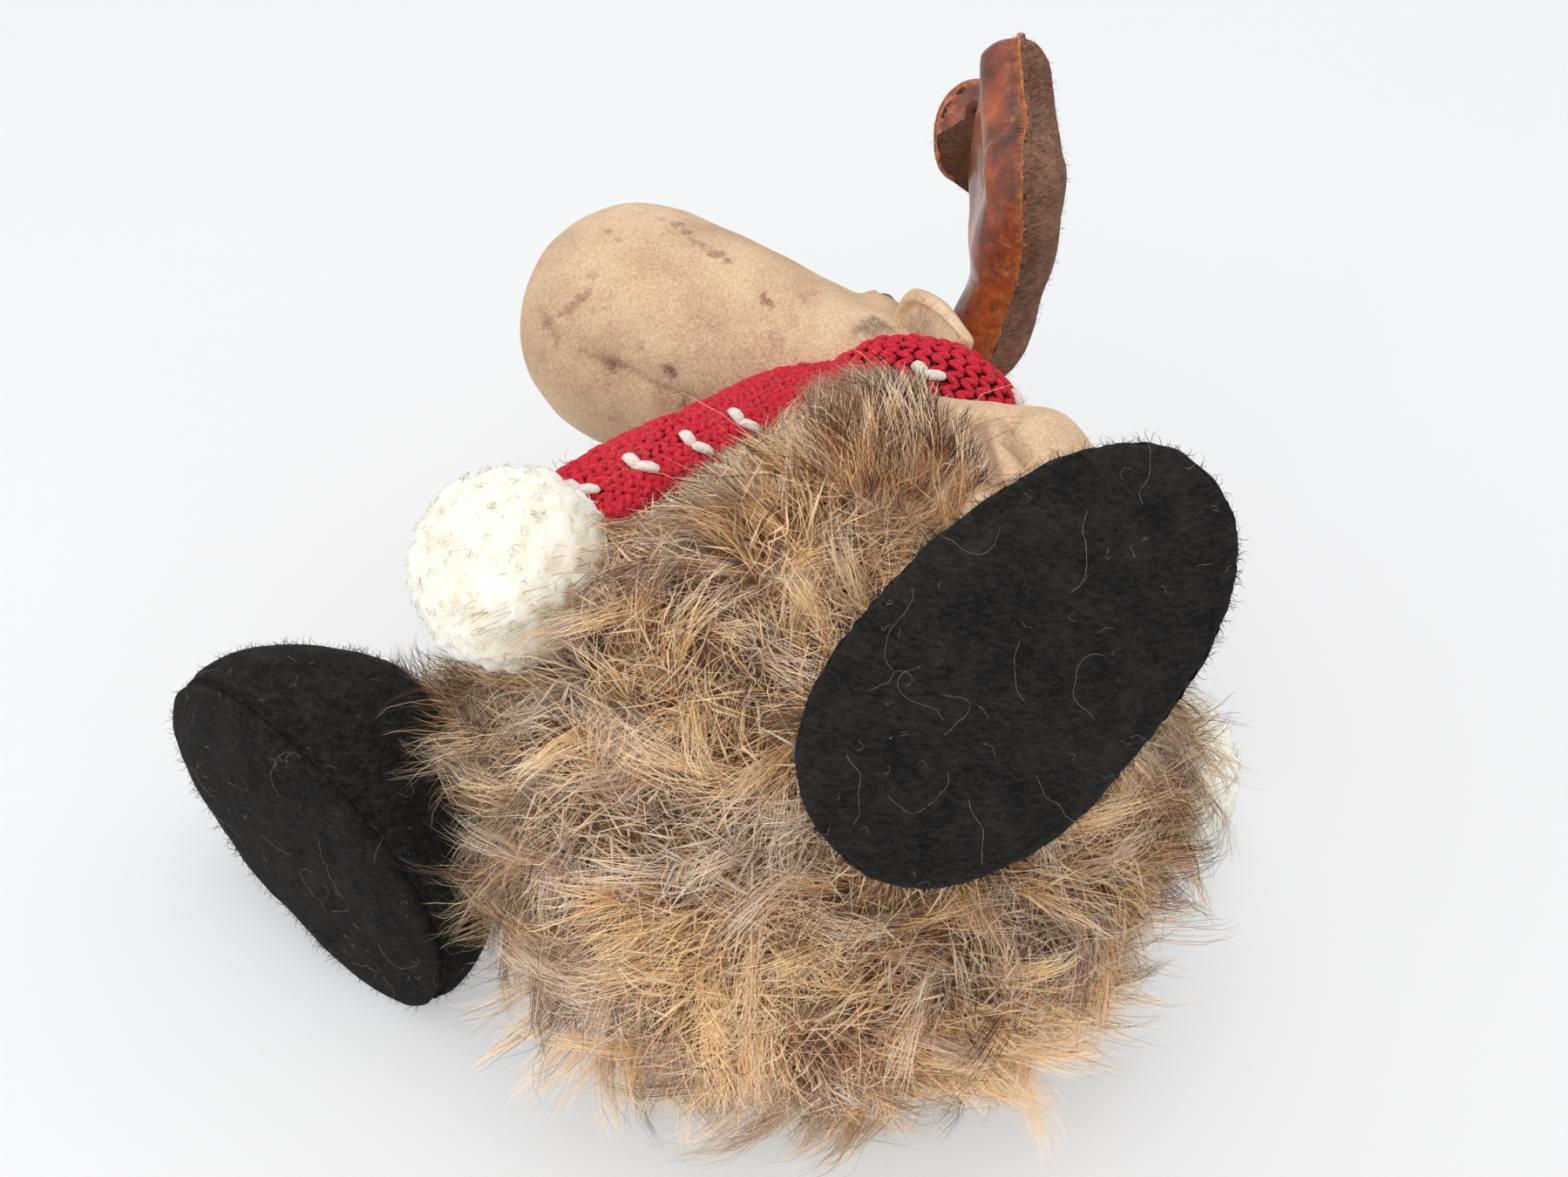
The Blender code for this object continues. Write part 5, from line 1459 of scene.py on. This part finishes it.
def make_boot(side):
    """The felt upper, gathered a little along its seam, and the padded sole set just inside the seam."""
    body = f"lower_leg_{side}"
    turn = BOOTS[side]
    points, faces = shaped_ball(boot_shape, 160, 56, low=0.0)
    at = np.array([tuple(p) for p in points])
    height = at[:, 2]
    angle = np.arctan2(at[:, 1] / BOOT_HALF_WIDTH, at[:, 0] / BOOT_HALF_LENGTH)
    tuck = np.clip(1 - height / 0.0050, 0, 1) ** 1.6
    at[:, :2] *= (1 - 0.040 * tuck)[:, None]
    gather = 0.00016 * np.sin(angle * 30 + 2.5 * np.sin(angle * 5)) * falloff(height - 0.005, 0.006)
    mesh = mesh_from(f"boot_{side}_upper", at, faces)
    at, out = vertex_arrays(mesh)
    lumps = 0.0013 * noise_at(at, 0.026, 2.0 if side == "left" else 5.0) + 0.0004 * noise_at(at, 0.008, 1.0)
    rim = np.clip(at[:, 2] / 0.003, 0, 1)
    at = at + out * ((gather + lumps) * rim)[:, None]
    set_points(mesh, moved(at, turn))
    for spot, rise, spread in BOOT_SWELLS[side]:
        at, out = vertex_arrays(mesh)
        gap = np.linalg.norm(at - np.array(seen_on(mesh, [spot])[0]), axis=1)
        at = at + out * (rise * falloff(gap, spread) * np.clip(height / 0.010, 0, 1))[:, None]
        set_points(mesh, at)
    upper = show(f"boot_{side}_felt", mesh, WOOL_FELT, body, (f"boot_{side}_upper",))

    def sole_shape(point):
        wide = fuller(point.x, point.y) * (0.962 + 0.030 * math.sin(math.pi * min(1.0, 2.2 * point.z)))
        deep = 0.0088 * max(0.0, point.z) ** 0.75
        across = point.y * wide * BOOT_HALF_WIDTH * (1 + TOE_SPREAD * point.x)
        return Vector((point.x * wide * BOOT_HALF_LENGTH, across, -0.0004 - deep))

    points, faces = shaped_ball(sole_shape, 160, 44, low=0.0)
    mesh = mesh_from(f"boot_{side}_sole", [tuple(p) for p in points], [face[::-1] for face in faces])
    at, out = vertex_arrays(mesh)
    low = np.clip(-at[:, 2] / 0.003, 0, 1)
    at = at + out * ((0.0008 * noise_at(at, 0.020, 4.0) + 0.0003 * noise_at(at, 0.006, 6.0)) * low)[:, None]
    set_points(mesh, moved(at, turn))
    sole = show(f"boot_{side}_sole_felt", mesh, WOOL_FELT, body, (f"boot_{side}_sole",))
    frames = []
    for i in range(BOOT_STITCHES):
        way = 2 * math.pi * i / BOOT_STITCHES
        x, y = math.cos(way), math.sin(way)
        wide = fuller(x, y) * 0.972
        spot = Vector((x * wide * BOOT_HALF_LENGTH, y * wide * BOOT_HALF_WIDTH * (1 + TOE_SPREAD * x), 0.0012))
        ahead = Vector((-y * BOOT_HALF_LENGTH, x * BOOT_HALF_WIDTH, 0.0006)).normalized()
        out = ahead.cross(Vector((0, 0, 1))).normalized()
        frames.append(turn @ place(spot, ahead.cross(out), ahead, out))
    stitch = hidden_shape("thread_stitch", yarn_leg(0.0034, 0.00042))
    carrier = carrier_mesh("boot_stitches", frames, [(1, 1, 1)] * len(frames), [0.5] * len(frames))
    stitches = run_tree(SET_OUT, carrier, f"boot_{side}_stitches", shape=stitch, look=THREAD)
    show(f"boot_{side}_stitches", stitches, THREAD, body)
    wisp = hidden_shape("felt_wisp", fibre("felt_wisp", 1.0, 0.40, 0.030))
    add_fuzz(f"boot_{side}_upper_fuzz", upper.data, FUZZ_BLACK, body, wisp,
             density=220000.0, length=0.0026, seed=3)
    add_fuzz(f"boot_{side}_sole_fuzz", sole.data, FUZZ_BLACK, body, wisp,
             density=240000.0, length=0.0026, seed=4)
    lint_threads(f"boot_{side}_upper_lint", upper.data, body, count=120, seed=21)
    lint_threads(f"boot_{side}_sole_lint", sole.data, body, count=100, seed=22)


for side in BOOTS:
    make_boot(side)

# ---------------------------------------------------------------- the legs
# The folds that the photograph shows in a leg, in its pixels, and how deep they are
LEG_CREASES = {"left": ((((1162, 466), (1150, 490), (1174, 514), (1202, 545)), 0.0040),
                        (((1118, 472), (1121, 498), (1142, 560)), 0.0024)),
               "right": ()}


def make_leg(side):
    """One velvet sleeve from the fur to the boot, folded at the knee."""
    hip, knee, ankle = LEGS[side]
    rounds = []
    for start, end, low, high in ((hip, knee, 0.0185, 0.0181), (knee, ankle, 0.0181, 0.0165)):
        way = end - start
        turn = Matrix.Translation(start) @ way.to_track_quat("Z", "Y").to_matrix().to_4x4()
        rounds.append(lathed("leg_part", taper_profile(low, high, way.length, MESH_SPACING), 48, turn))
    mesh = remeshed(f"leg_{side}_sleeve", rounds, voxel=0.0012, smooth=10)
    at, out = vertex_arrays(mesh)
    move = 0.0009 * noise_at(at, 0.018, 2.0) + 0.0003 * noise_at(at, 0.006, 4.0)
    fold_shade = np.zeros(len(at))
    for crease, deep in LEG_CREASES[side]:
        gap = line_distance(at, seen_on(mesh, crease))
        move -= deep * falloff(gap, 0.0019) + 0.5 * deep * falloff(gap, 0.006)
        # Painted shade along each fold.
        fold_shade = np.maximum(fold_shade, 0.55 * falloff(gap, 0.0011))
    inner = knee + ((hip + ankle) / 2 - knee).normalized() * 0.0165
    gap = np.linalg.norm(at - np.array(inner), axis=1)
    move -= 0.0020 * falloff(gap, 0.007)
    set_points(mesh, at + out * move[:, None])
    mark_seam_and_painted_shade(mesh, fold_shade)
    mesh.materials.append(VELVET)
    leg = add_object(f"leg_{side}_sleeve", mesh)
    way = (ankle - hip).normalized()
    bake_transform(leg)
    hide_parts(f"thigh_{side}", f"shin_{side}")


def cuff_fur(side, count, rng):
    """Fur on the part of a leg that the body's fur closes round."""
    at, out = vertex_arrays(bpy.data.objects[f"leg_{side}_sleeve"].data)
    near = np.flatnonzero((np.linalg.norm(at - CENTRE, axis=1) < BODY_RADIUS + 0.016) & (at[:, 2] > 0.004))
    near = rng.choice(near, count)
    way = unit(at[near] - CENTRE + 0.05 * rng.standard_normal((count, 3)))
    tone, dark, _ = tone_of(at[near], rng)
    of = np.repeat(np.arange(count), 13)
    total = len(of)
    steps = 4
    faces = out[near][of]
    roots = at[near][of] + 0.0022 * flattened(rng.standard_normal((total, 3)), faces)
    ways = unit(flattened(way[of] + 0.16 * rng.standard_normal((total, 3)), faces))
    paths = grow(roots, faces, ways, 0.021 * rng.uniform(0.6, 1.15, total), rng.uniform(0.5, 1.0, count)[of],
                 rng.normal(0, 0.8, count)[of] + rng.normal(0, 0.15, total), steps, 0.2, rng)
    paths[:, :, 2] = np.maximum(paths[:, :, 2], LYING_FUR)
    marks = marks_for(total, steps, tone[of] + rng.normal(0, 0.15, total), dark[of] * (rng.random(total) < 0.8),
                      rng.uniform(0.3, 1.0, total))
    show_hairs(f"fur_cuff_{side}", paths, 0.000095, marks, rng)


for side, tufts in (("left", 170), ("right", 130)):
    make_leg(side)
    cuff_fur(side, tufts, rng)
# Outlines of the photograph, in its pixels, where fur lies over the legs
HIP_FUR = ((948, 640), (946, 585), (962, 535), (988, 492), (1030, 468), (1072, 466), (1092, 478), (1104, 510),
           (1118, 548), (1108, 590), (1060, 630), (1010, 660))
edge_fur("fur_hip_edge", "leg_left_sleeve", HIP_FUR, rng, centre=(1000, 690), count=118, reach=0.030, tone=0.34,
         dark=1.00)
THIGH_FUR = ((478, 806), (488, 782), (505, 768), (560, 762), (620, 790), (620, 860), (560, 880), (512, 850))
edge_fur("fur_thigh_edge", "leg_right_sleeve", THIGH_FUR, rng, centre=(700, 850), count=78, reach=0.019, tone=0.35,
         dark=0.85)

# ---------------------------------------------------------------- the antlers
LEATHER = leather_finish()
BACK_FELT = felt_finish("brown_felt", linear(0.33, 0.225, 0.18), linear(0.64, 0.485, 0.405), 520.0)
FUZZ_BROWN = yarn_finish("brown_felt_fibre", linear(0.42, 0.30, 0.24), linear(0.72, 0.57, 0.48))
ANTLER_SPREAD = 0.074
ANTLER_LENGTH = 0.0945
LEATHER_PUFF = 0.0112
FELT_PUFF = 0.0082
STEM_SHARE = 0.1486
SEAM_LIP = 0.0016
# The antler's outline from the front, in shares of its spread and length
PALM = ((-STEM_SHARE, 0), (-STEM_SHARE, 0.22), (-0.22, 0.46), (-0.42, 0.54), (-0.55, 0.58), (-0.55, 0.76),
        (-0.38, 0.88), (-0.20, 0.80), (-0.22, 0.96), (-0.07, 1.01), (-0.01, 0.80), (0.06, 1.01), (0.25, 1.01),
        (0.27, 0.80), (0.44, 0.74), (0.47, 0.56), (0.32, 0.36), (STEM_SHARE, 0.20), (STEM_SHARE, 0))


def rounded_outline(shares, steps):
    """A closed curve that rounds the corners of the outline."""
    corners = [Vector((x * ANTLER_SPREAD, y * ANTLER_LENGTH, 0)) for x, y in shares]
    points = []
    for i, corner in enumerate(corners):
        start = (corners[i - 1] + corner) / 2
        end = (corner + corners[(i + 1) % len(corners)]) / 2
        for j in range(steps):
            t = j / steps
            points.append(start * (1 - t) ** 2 + corner * 2 * t * (1 - t) + end * t * t)
    return points


# Each outer tine's curl: its side, where it starts, its radius and how far it turns
CURLS = ((1, 0.020, 0.034, 0.6), (-1, 0.0120, 0.0108, 1.85))


def curl_tines(at):
    """The outer tines curl toward the leather side."""
    at = at.copy()
    for sign, hinge, radius, limit in CURLS:
        over = sign * at[:, 0] - hinge
        reach = np.clip((at[:, 1] - 0.030) / 0.012, 0, 1)
        beyond = over > 0
        angle = np.minimum(over / radius, limit) * reach
        past = np.clip(over - radius * limit, 0, None)
        away = radius - at[:, 2]
        new_x = hinge + away * np.sin(angle) + past * np.cos(angle)
        new_z = radius - away * np.cos(angle) + past * np.sin(angle)
        use_x = reach * new_x + (1 - reach) * (over + hinge)
        use_z = reach * new_z + (1 - reach) * at[:, 2]
        at[:, 0] = np.where(beyond, sign * use_x, at[:, 0])
        at[:, 2] = np.where(beyond, use_z, at[:, 2])
    return at


def make_antler(side):
    """Leather and felt sewn edge to edge, stuffed, with the seam's raw edge standing out between them."""
    turn = ANTLERS[side]
    outline = rounded_outline(PALM, 10)
    work = bmesh.new()
    verts = [work.verts.new(p + Vector((0, 0, -0.0012))) for p in outline]
    face = work.faces.new(verts)
    raised = bmesh.ops.extrude_face_region(work, geom=[face])
    lifted = [item for item in raised["geom"] if isinstance(item, bmesh.types.BMVert)]
    bmesh.ops.translate(work, verts=lifted, vec=(0, 0, 0.0024))
    bmesh.ops.recalc_face_normals(work, faces=work.faces[:])
    puffed = remeshed("antler", [mesh_of(work, "palm_plate")], voxel=0.0008, smooth=3)
    at, _ = vertex_arrays(puffed)
    flat = at.copy()
    flat[:, 2] = 0
    gap = line_distance(flat, outline + outline[:1])
    rise = ramp_up(gap, SEAM_LIP, 0.0125)
    puff = np.where(at[:, 2] > 0, LEATHER_PUFF, FELT_PUFF) * np.sqrt(1 - (1 - rise) ** 2)
    puff *= 1 - 0.60 * ramp_up(-at[:, 0], 0.011, 0.008)
    puff *= 1 - 0.10 * falloff(at[:, 1] - 0.030, 0.006) * (at[:, 2] > 0)
    pucker = 0.0013 * noise_at(flat, 0.0050, 2.0) * falloff(gap - 0.0042, 0.0038)
    lump = 0.0022 * noise_at(flat, 0.019, 1.0 if side == "left" else 4.0) * rise
    facing = np.tanh(at[:, 2] / 0.0004)
    at[:, 2] += facing * (puff + pucker + lump)
    bent = curl_tines(at)
    bow = np.sin(np.clip(at[:, 1] / 0.092, 0, 1) * math.pi) ** 1.2
    bent[:, 2] += 0.0010 * noise_at(flat, 0.028, 7.0) - 0.0055 * bow
    set_points(puffed, moved(bent, turn))
    inner = puffed.copy()
    thin = flat.copy()
    thin[:, 2] = facing * np.clip(puff - 0.0030, 0.0001, None) * np.clip((gap - 0.004) / 0.004, 0.02, 1)
    thin = curl_tines(thin)
    thin[:, 2] += bent[:, 2] - curl_tines(at)[:, 2]
    set_points(inner, moved(thin, turn))
    filling = show(f"antler_{side}_batting", inner, BATTING, "toy", (f"antler_{side}_filling",))
    seam = falloff(np.clip(gap - SEAM_LIP / 2, 0, None), 0.0009)
    for label, look, slot in (("leather", LEATHER, "leather"), ("felt", BACK_FELT, "brown_felt")):
        work = bmesh.new()
        work.from_mesh(puffed)
        work.verts.ensure_lookup_table()
        mark = work.verts.layers.float.new("seam")
        for vert in work.verts:
            vert[mark] = seam[vert.index]
        keep_front = label == "leather"
        drop = [f for f in work.faces if (sum(at[v.index, 2] for v in f.verts) > 0) != keep_front]
        bmesh.ops.delete(work, geom=drop, context="FACES")
        bmesh.ops.holes_fill(work, edges=[e for e in work.edges if e.is_boundary])
        close_faces(work)
        half = mesh_of(work, f"antler_{side}_{label}")
        half.shade_smooth()
        made = show(f"antler_{side}_{label}_sewn", half, look, "toy", (f"antler_{side}_{label}",))
        if label == "felt":
            wisp = hidden_shape("antler_wisp", fibre("antler_wisp", 1.0, 0.40, 0.030))
            add_fuzz(f"antler_{side}_felt_fuzz", made.data, FUZZ_BROWN, "toy", wisp,
                     density=260000.0, length=0.0018, seed=9)


for side in ANTLERS:
    make_antler(side)

# ---------------------------------------------------------------- the scarf
# The core's darker red paints the shade between the stitches.
KNIT_SHADE_BASE = yarn_finish("red_knit_base", linear(0.30, 0.02, 0.05), linear(0.50, 0.04, 0.08))
KNIT = yarn_finish("red_knit_yarn", linear(0.66, 0.07, 0.125), linear(0.93, 0.24, 0.31), 1400.0)
STITCH = yarn_finish("white_stitch_yarn", linear(0.84, 0.78, 0.74), linear(0.97, 0.95, 0.93), 1200.0)
PINK_FIBRE = yarn_finish("stray_red_fibre", linear(0.74, 0.14, 0.19), linear(0.96, 0.58, 0.60), 500.0)


STITCH_PITCH = 0.0034
YARN_RADIUS = 0.00108
STITCH_LEAN = math.radians(24)


def band_rings(line, centre, width, thick, rows_round):
    """The places of stitches round a band, ring by ring: spot, onward and out of the band; and their step."""
    lengths = [0.0]
    for a, b in zip(line, line[1:]):
        lengths.append(lengths[-1] + (b - a).length)
    total = lengths[-1]
    count = max(2, round(total / STITCH_PITCH))

    def at_length(far):
        for i in range(len(line) - 1):
            if far <= lengths[i + 1] or i == len(line) - 2:
                t = (far - lengths[i]) / (lengths[i + 1] - lengths[i])
                return line[i].lerp(line[i + 1], t)

    spots = [at_length(total * i / count) for i in range(count + 1)]
    rings = []
    for i, spot in enumerate(spots):
        onward = (spots[min(i + 1, count)] - spots[max(i - 1, 0)]).normalized()
        away = spot - centre
        away = (away - onward * away.dot(onward)).normalized()
        across = onward.cross(away)
        ring = []
        for j in range(rows_round):
            angle = 2 * math.pi * (j + 0.5) / rows_round
            c, s = math.cos(angle), math.sin(angle)
            offset = across * (c * width / 2) + away * (s * thick / 2)
            out = (across * (c * thick) + away * (s * width)).normalized()
            ring.append((spot + offset, onward, out))
        rings.append(ring)
    return rings, total / count


def knit(name, rings, step, body):
    """V stitches set along the rings of a band, leaving out those that a neighbour covers."""
    frames = []
    sizes = []
    tones = []
    chance = np.random.default_rng(SEED + len(name))
    for ring in rings[:-1]:
        for j, (spot, onward, out) in enumerate(ring):
            if not clear_of_toy(spot):
                continue
            side = onward.cross(out).normalized()
            for sign in (-1, 1):
                lean = STITCH_LEAN * sign + chance.normal(0, 0.10)
                along = (onward * math.cos(lean) + side * math.sin(lean)).normalized()
                across = along.cross(out).normalized()
                place_at = spot + side * sign * step_width(ring, j) * 0.24 + out * chance.normal(0, 0.00022)
                frames.append(place(place_at, across, along, across.cross(along)))
                grow = chance.normal(1.0, 0.07)
                sizes.append((grow, grow, grow))
                tones.append(chance.random())
    stitch = hidden_shape("knit_leg", yarn_leg(step * 1.55, YARN_RADIUS))
    mesh = run_tree(SET_OUT, carrier_mesh(name, frames, sizes, tones), name, shape=stitch, look=KNIT)
    show(name, mesh, KNIT, body)


def step_width(ring, j):
    """How far a ring's stitch stands from its neighbour."""
    return (ring[(j + 1) % len(ring)][0] - ring[j][0]).length


def band_core(name, rings, body, stands_for, closed=False):
    """The band's own soft core, just under its stitches, in a darker red that paints the shade between them."""
    points = []
    for ring in rings:
        points += [spot - out * 0.0008 for spot, _, out in ring]
    sides = len(rings[0])
    faces = []
    count = len(rings)
    for i in range(count if closed else count - 1):
        k = (i + 1) % count
        for j in range(sides):
            n = (j + 1) % sides
            faces.append((i * sides + j, i * sides + n, k * sides + n, k * sides + j))
    if not closed:
        faces.append(tuple(range(sides))[::-1])
        faces.append(tuple(range((count - 1) * sides, count * sides)))
    mesh = mesh_from(name, points, faces)
    work = bmesh.new()
    work.from_mesh(mesh)
    close_faces(work)
    work.to_mesh(mesh)
    work.free()
    piece = show(name, mesh, KNIT_SHADE_BASE, body, stands_for)


def smooth_route(points, between):
    """Points on a smooth curve through the given ones."""
    padded = [2 * points[0] - points[1], *points, 2 * points[-1] - points[-2]]
    route = []
    for i in range(len(points) - 1):
        before, start, end, after = padded[i:i + 4]
        for step in range(between):
            t = step / between
            route.append(0.5 * (2 * start + (end - before) * t
                                + (2 * before - 5 * start + 4 * end - after) * t * t
                                + (3 * start - before - 3 * end + after) * t ** 3))
    route.append(points[-1].copy())
    return route


def clear_of_toy(spot):
    """Whether a scarf stitch shows: not sunk into the body or into the neck inside the wrap."""
    local = BODY.inverted() @ spot
    if local.z > 0.104 and math.hypot(local.x, local.y) < RING_RADIUS - 0.0035:
        return False
    if local.z < 0.0935:
        return (spot - BODY_CENTRE).length > BODY_RADIUS - 0.010
    return True


ring_centre = BODY @ Vector((0, 0, RING_HEIGHT))
ring_line = []
for i in range(65):
    angle = 2 * math.pi * i / 64
    ring_line.append(BODY @ Vector((RING_RADIUS * math.cos(angle), RING_RADIUS * math.sin(angle), RING_HEIGHT)))
rings, step = band_rings(ring_line, ring_centre, width=0.0256, thick=0.0150, rows_round=18)
band_core("scarf_wrap_core", rings[:-1], "toy", ("scarf_wrap",), closed=True)
knit("scarf_wrap_knit", rings, step, "toy")
tail_rings = {}
for label in ("front", "back"):
    route = smooth_route(TAIL_ROUTES[label], 6)
    if label == "front":
        route = [p - CAMERA_UP * (0.0018 + 0.0036 * math.sin(math.pi * i / (len(route) - 1)) ** 0.7)
                 for i, p in enumerate(route)]
    while (route[-1] - POMPOMS[label]).length < POMPOM_RADIUS * 0.55:
        route.pop()
    behind = Vector(TO_CAMERA) * 0.075 if label == "front" else Vector((0, 0, 0))
    rings, step = band_rings(route, BODY_CENTRE - behind, width=0.0262, thick=0.0130, rows_round=17)
    tail_rings[label] = rings
    body = f"{label}_tail"
    band_core(f"scarf_{label}_core", rings, body, (f"scarf_tail_{label}",))
    knit(f"scarf_{label}_knit", rings, step, body)

# Where the photograph shows the white stitches, in its pixels
WHITE_SPOTS = {"wrap": ((905, 457), (1060, 435), (1160, 468)),
               "front": ((663, 572), (729, 543), (790, 518), (845, 492))}


def white_stitches(name, spots, body):
    """Each a pair of thick white stitches that meet low and spread above, as embroidered on the knit."""
    frames = []
    sizes = []
    for spot, facing, right, up in spots:
        right = (right - facing * right.dot(facing)).normalized()
        up = facing.cross(right)
        for across, above, length, wide in ((-0.60, 0.80, 0.95, 1.40), (0.97, -0.05, 1.15, 1.20)):
            way = (right * across + up * above).normalized()
            middle = spot + way * 0.0021 * length + facing * 0.0020
            frames.append(place(middle, way.cross(facing), way, facing))
            sizes.append((wide, length, 0.85 * wide))
    shape = hidden_shape("white_stroke", yarn_leg(0.0058, 0.00138))
    mesh = run_tree(SET_OUT, carrier_mesh(name, frames, sizes, [0.5] * len(frames)), name, shape=shape, look=STITCH)
    show(name, mesh, STITCH, body)


def on_scarf(label):
    """Where the camera sees a band's white stitches, and which way each faces."""
    tree = surface_tree(bpy.data.objects[f"scarf_{label}_core"].data)
    found = []
    for across, down in WHITE_SPOTS[label]:
        ray = sight(across, down)
        hit, facing, _, _ = tree.ray_cast(EYE, ray)
        if hit is None:
            hit, facing, _, _ = tree.find_nearest(EYE + ray * (BODY_CENTRE - EYE).length)
        if facing.dot(EYE - hit) < 0:
            facing = -facing
        found.append((hit, facing, Vector((1, 0, 0)), CAMERA_UP))
    return found


hidden_side = []
body_turn = BODY.to_3x3()
for angle in (20, 75, 130, 185):
    out = (body_turn @ Vector((math.cos(math.radians(angle)), math.sin(math.radians(angle)), 0))).normalized()
    if out.dot(EYE - BODY_CENTRE) < 0:
        spot = ring_centre + out * (RING_RADIUS + 0.0066)
        hidden_side.append((spot, out, out.cross(body_turn.col[2]), body_turn.col[2]))
white_stitches("scarf_wrap_white", on_scarf("wrap") + hidden_side, "toy")
white_stitches("scarf_front_white", on_scarf("front"), "front_tail")
back_spots = []
for ring in tail_rings["back"][3::6]:
    spot, onward, out = ring[4]
    back_spots.append((spot, out, onward, onward.cross(out)))
white_stitches("scarf_back_white", back_spots, "back_tail")
scarf_wisp = hidden_shape("scarf_wisp", fibre("scarf_wisp", 1.0, 0.55, 0.022, 4))
for name, body, seed in (("scarf_wrap", "toy", 5), ("scarf_front", "front_tail", 6), ("scarf_back", "back_tail", 7)):
    add_fuzz(f"{name}_fuzz", bpy.data.objects[f"{name}_core"].data, PINK_FIBRE, body, scarf_wisp,
             density=240000.0, length=0.0040, seed=seed)

# ---------------------------------------------------------------- the pompoms
WOOL = wool_finish("white_boucle", 1.0)
WISPS = wool_finish("white_wisps", 0.0)


TUFTS = 280


def ball_points(count):
    """Points spread evenly over the unit ball."""
    turn = math.pi * (3 - math.sqrt(5))
    points = []
    for i in range(count):
        z = 1 - 2 * (i + 0.5) / count
        r = math.sqrt(1 - z * z)
        points.append(Vector((r * math.cos(turn * i), r * math.sin(turn * i), z)))
    return points


def make_pompom(label):
    """A trimmed ball of fleece: plump curls side by side, each with a spiral in it, and short crimped wisps."""
    body = f"{label}_tail"
    centre = POMPOMS[label]
    chance = np.random.default_rng(SEED + len(label))
    tufts = unit(np.array([tuple(v) for v in ball_points(TUFTS)]) + chance.normal(0, 0.050, (TUFTS, 3)))
    size = chance.uniform(0.125, 0.175, TUFTS)
    rise = chance.uniform(0.75, 1.25, TUFTS)
    start = chance.random(TUFTS) * 6.28
    work = bmesh.new()
    bmesh.ops.create_icosphere(work, subdivisions=7 if label == "front" else 6, radius=1.0)
    core = mesh_of(work, f"pompom_{label}_core")
    away = unit(vertex_arrays(core)[0])
    tree = kdtree.KDTree(TUFTS)
    for i, tuft in enumerate(tufts):
        tree.insert(tuple(tuft), i)
    tree.balance()
    level = np.zeros(len(away))
    for i, way in enumerate(away):
        best = 0.0
        for found, j, gap in tree.find_n(tuple(way), 3):
            share = gap / size[j]
            if share < 1:
                spiral = math.cos(start[j] + 6.5 * share + 2 * math.atan2(way[0] - found[0], way[2] - found[2]))
                best = max(best, (1 - share ** 2.6) * rise[j] + 0.12 * spiral * share * (1 - share))
        level[i] = max(best, 0.45)
    fluff = noise_at(away * POMPOM_RADIUS, 0.0026, 3.0) + 0.5 * noise_at(away * POMPOM_RADIUS, 0.0012, 5.0)
    far = POMPOM_RADIUS * (0.945 + 0.030 * noise_at(away, 0.45, 1.0)) + 0.0019 * level - 0.0008 + 0.00038 * fluff
    set_points(core, np.array(centre) + away * far[:, None])
    core.shade_smooth()
    ball = show(f"pompom_{label}_core", core, WOOL, body, (f"pompom_{label}",))
    each = 8 if label == "front" else 4
    of = np.repeat(np.arange(TUFTS), each)
    total = len(of)
    roots = unit(tufts[of] + chance.normal(0, 0.045, (total, 3)))
    side = unit(np.cross(roots, np.array((0.3, -0.5, 0.8))))
    steps = 5
    paths = np.empty((total, steps, 3))
    phase = np.repeat(start, each) + chance.normal(0, 0.9, total)
    reach = chance.uniform(0.0006, 0.0020, total)
    for i in range(steps):
        t = i / (steps - 1)
        way = unit(roots * (1 - 0.35 * t) + tufts[of] * 0.35 * t)
        turn = phase + 4.6 * t
        swirl = side * (0.0009 * np.cos(turn))[:, None] + np.cross(roots, side) * (0.0009 * np.sin(turn))[:, None]
        paths[:, i] = np.array(centre) + way * (POMPOM_RADIUS * 0.965 + reach * t)[:, None] + swirl
    thick = np.full((total, steps), 0.00009 if label == "front" else 0.00012)
    mesh = strand_mesh(f"pompom_{label}_wisps", paths, thick, np.zeros((total, steps, 4)))
    show(f"pompom_{label}_wisps", mesh, WISPS, body)


for label in POMPOMS:
    make_pompom(label)

for item in small_shapes:
    bpy.data.objects.remove(item)
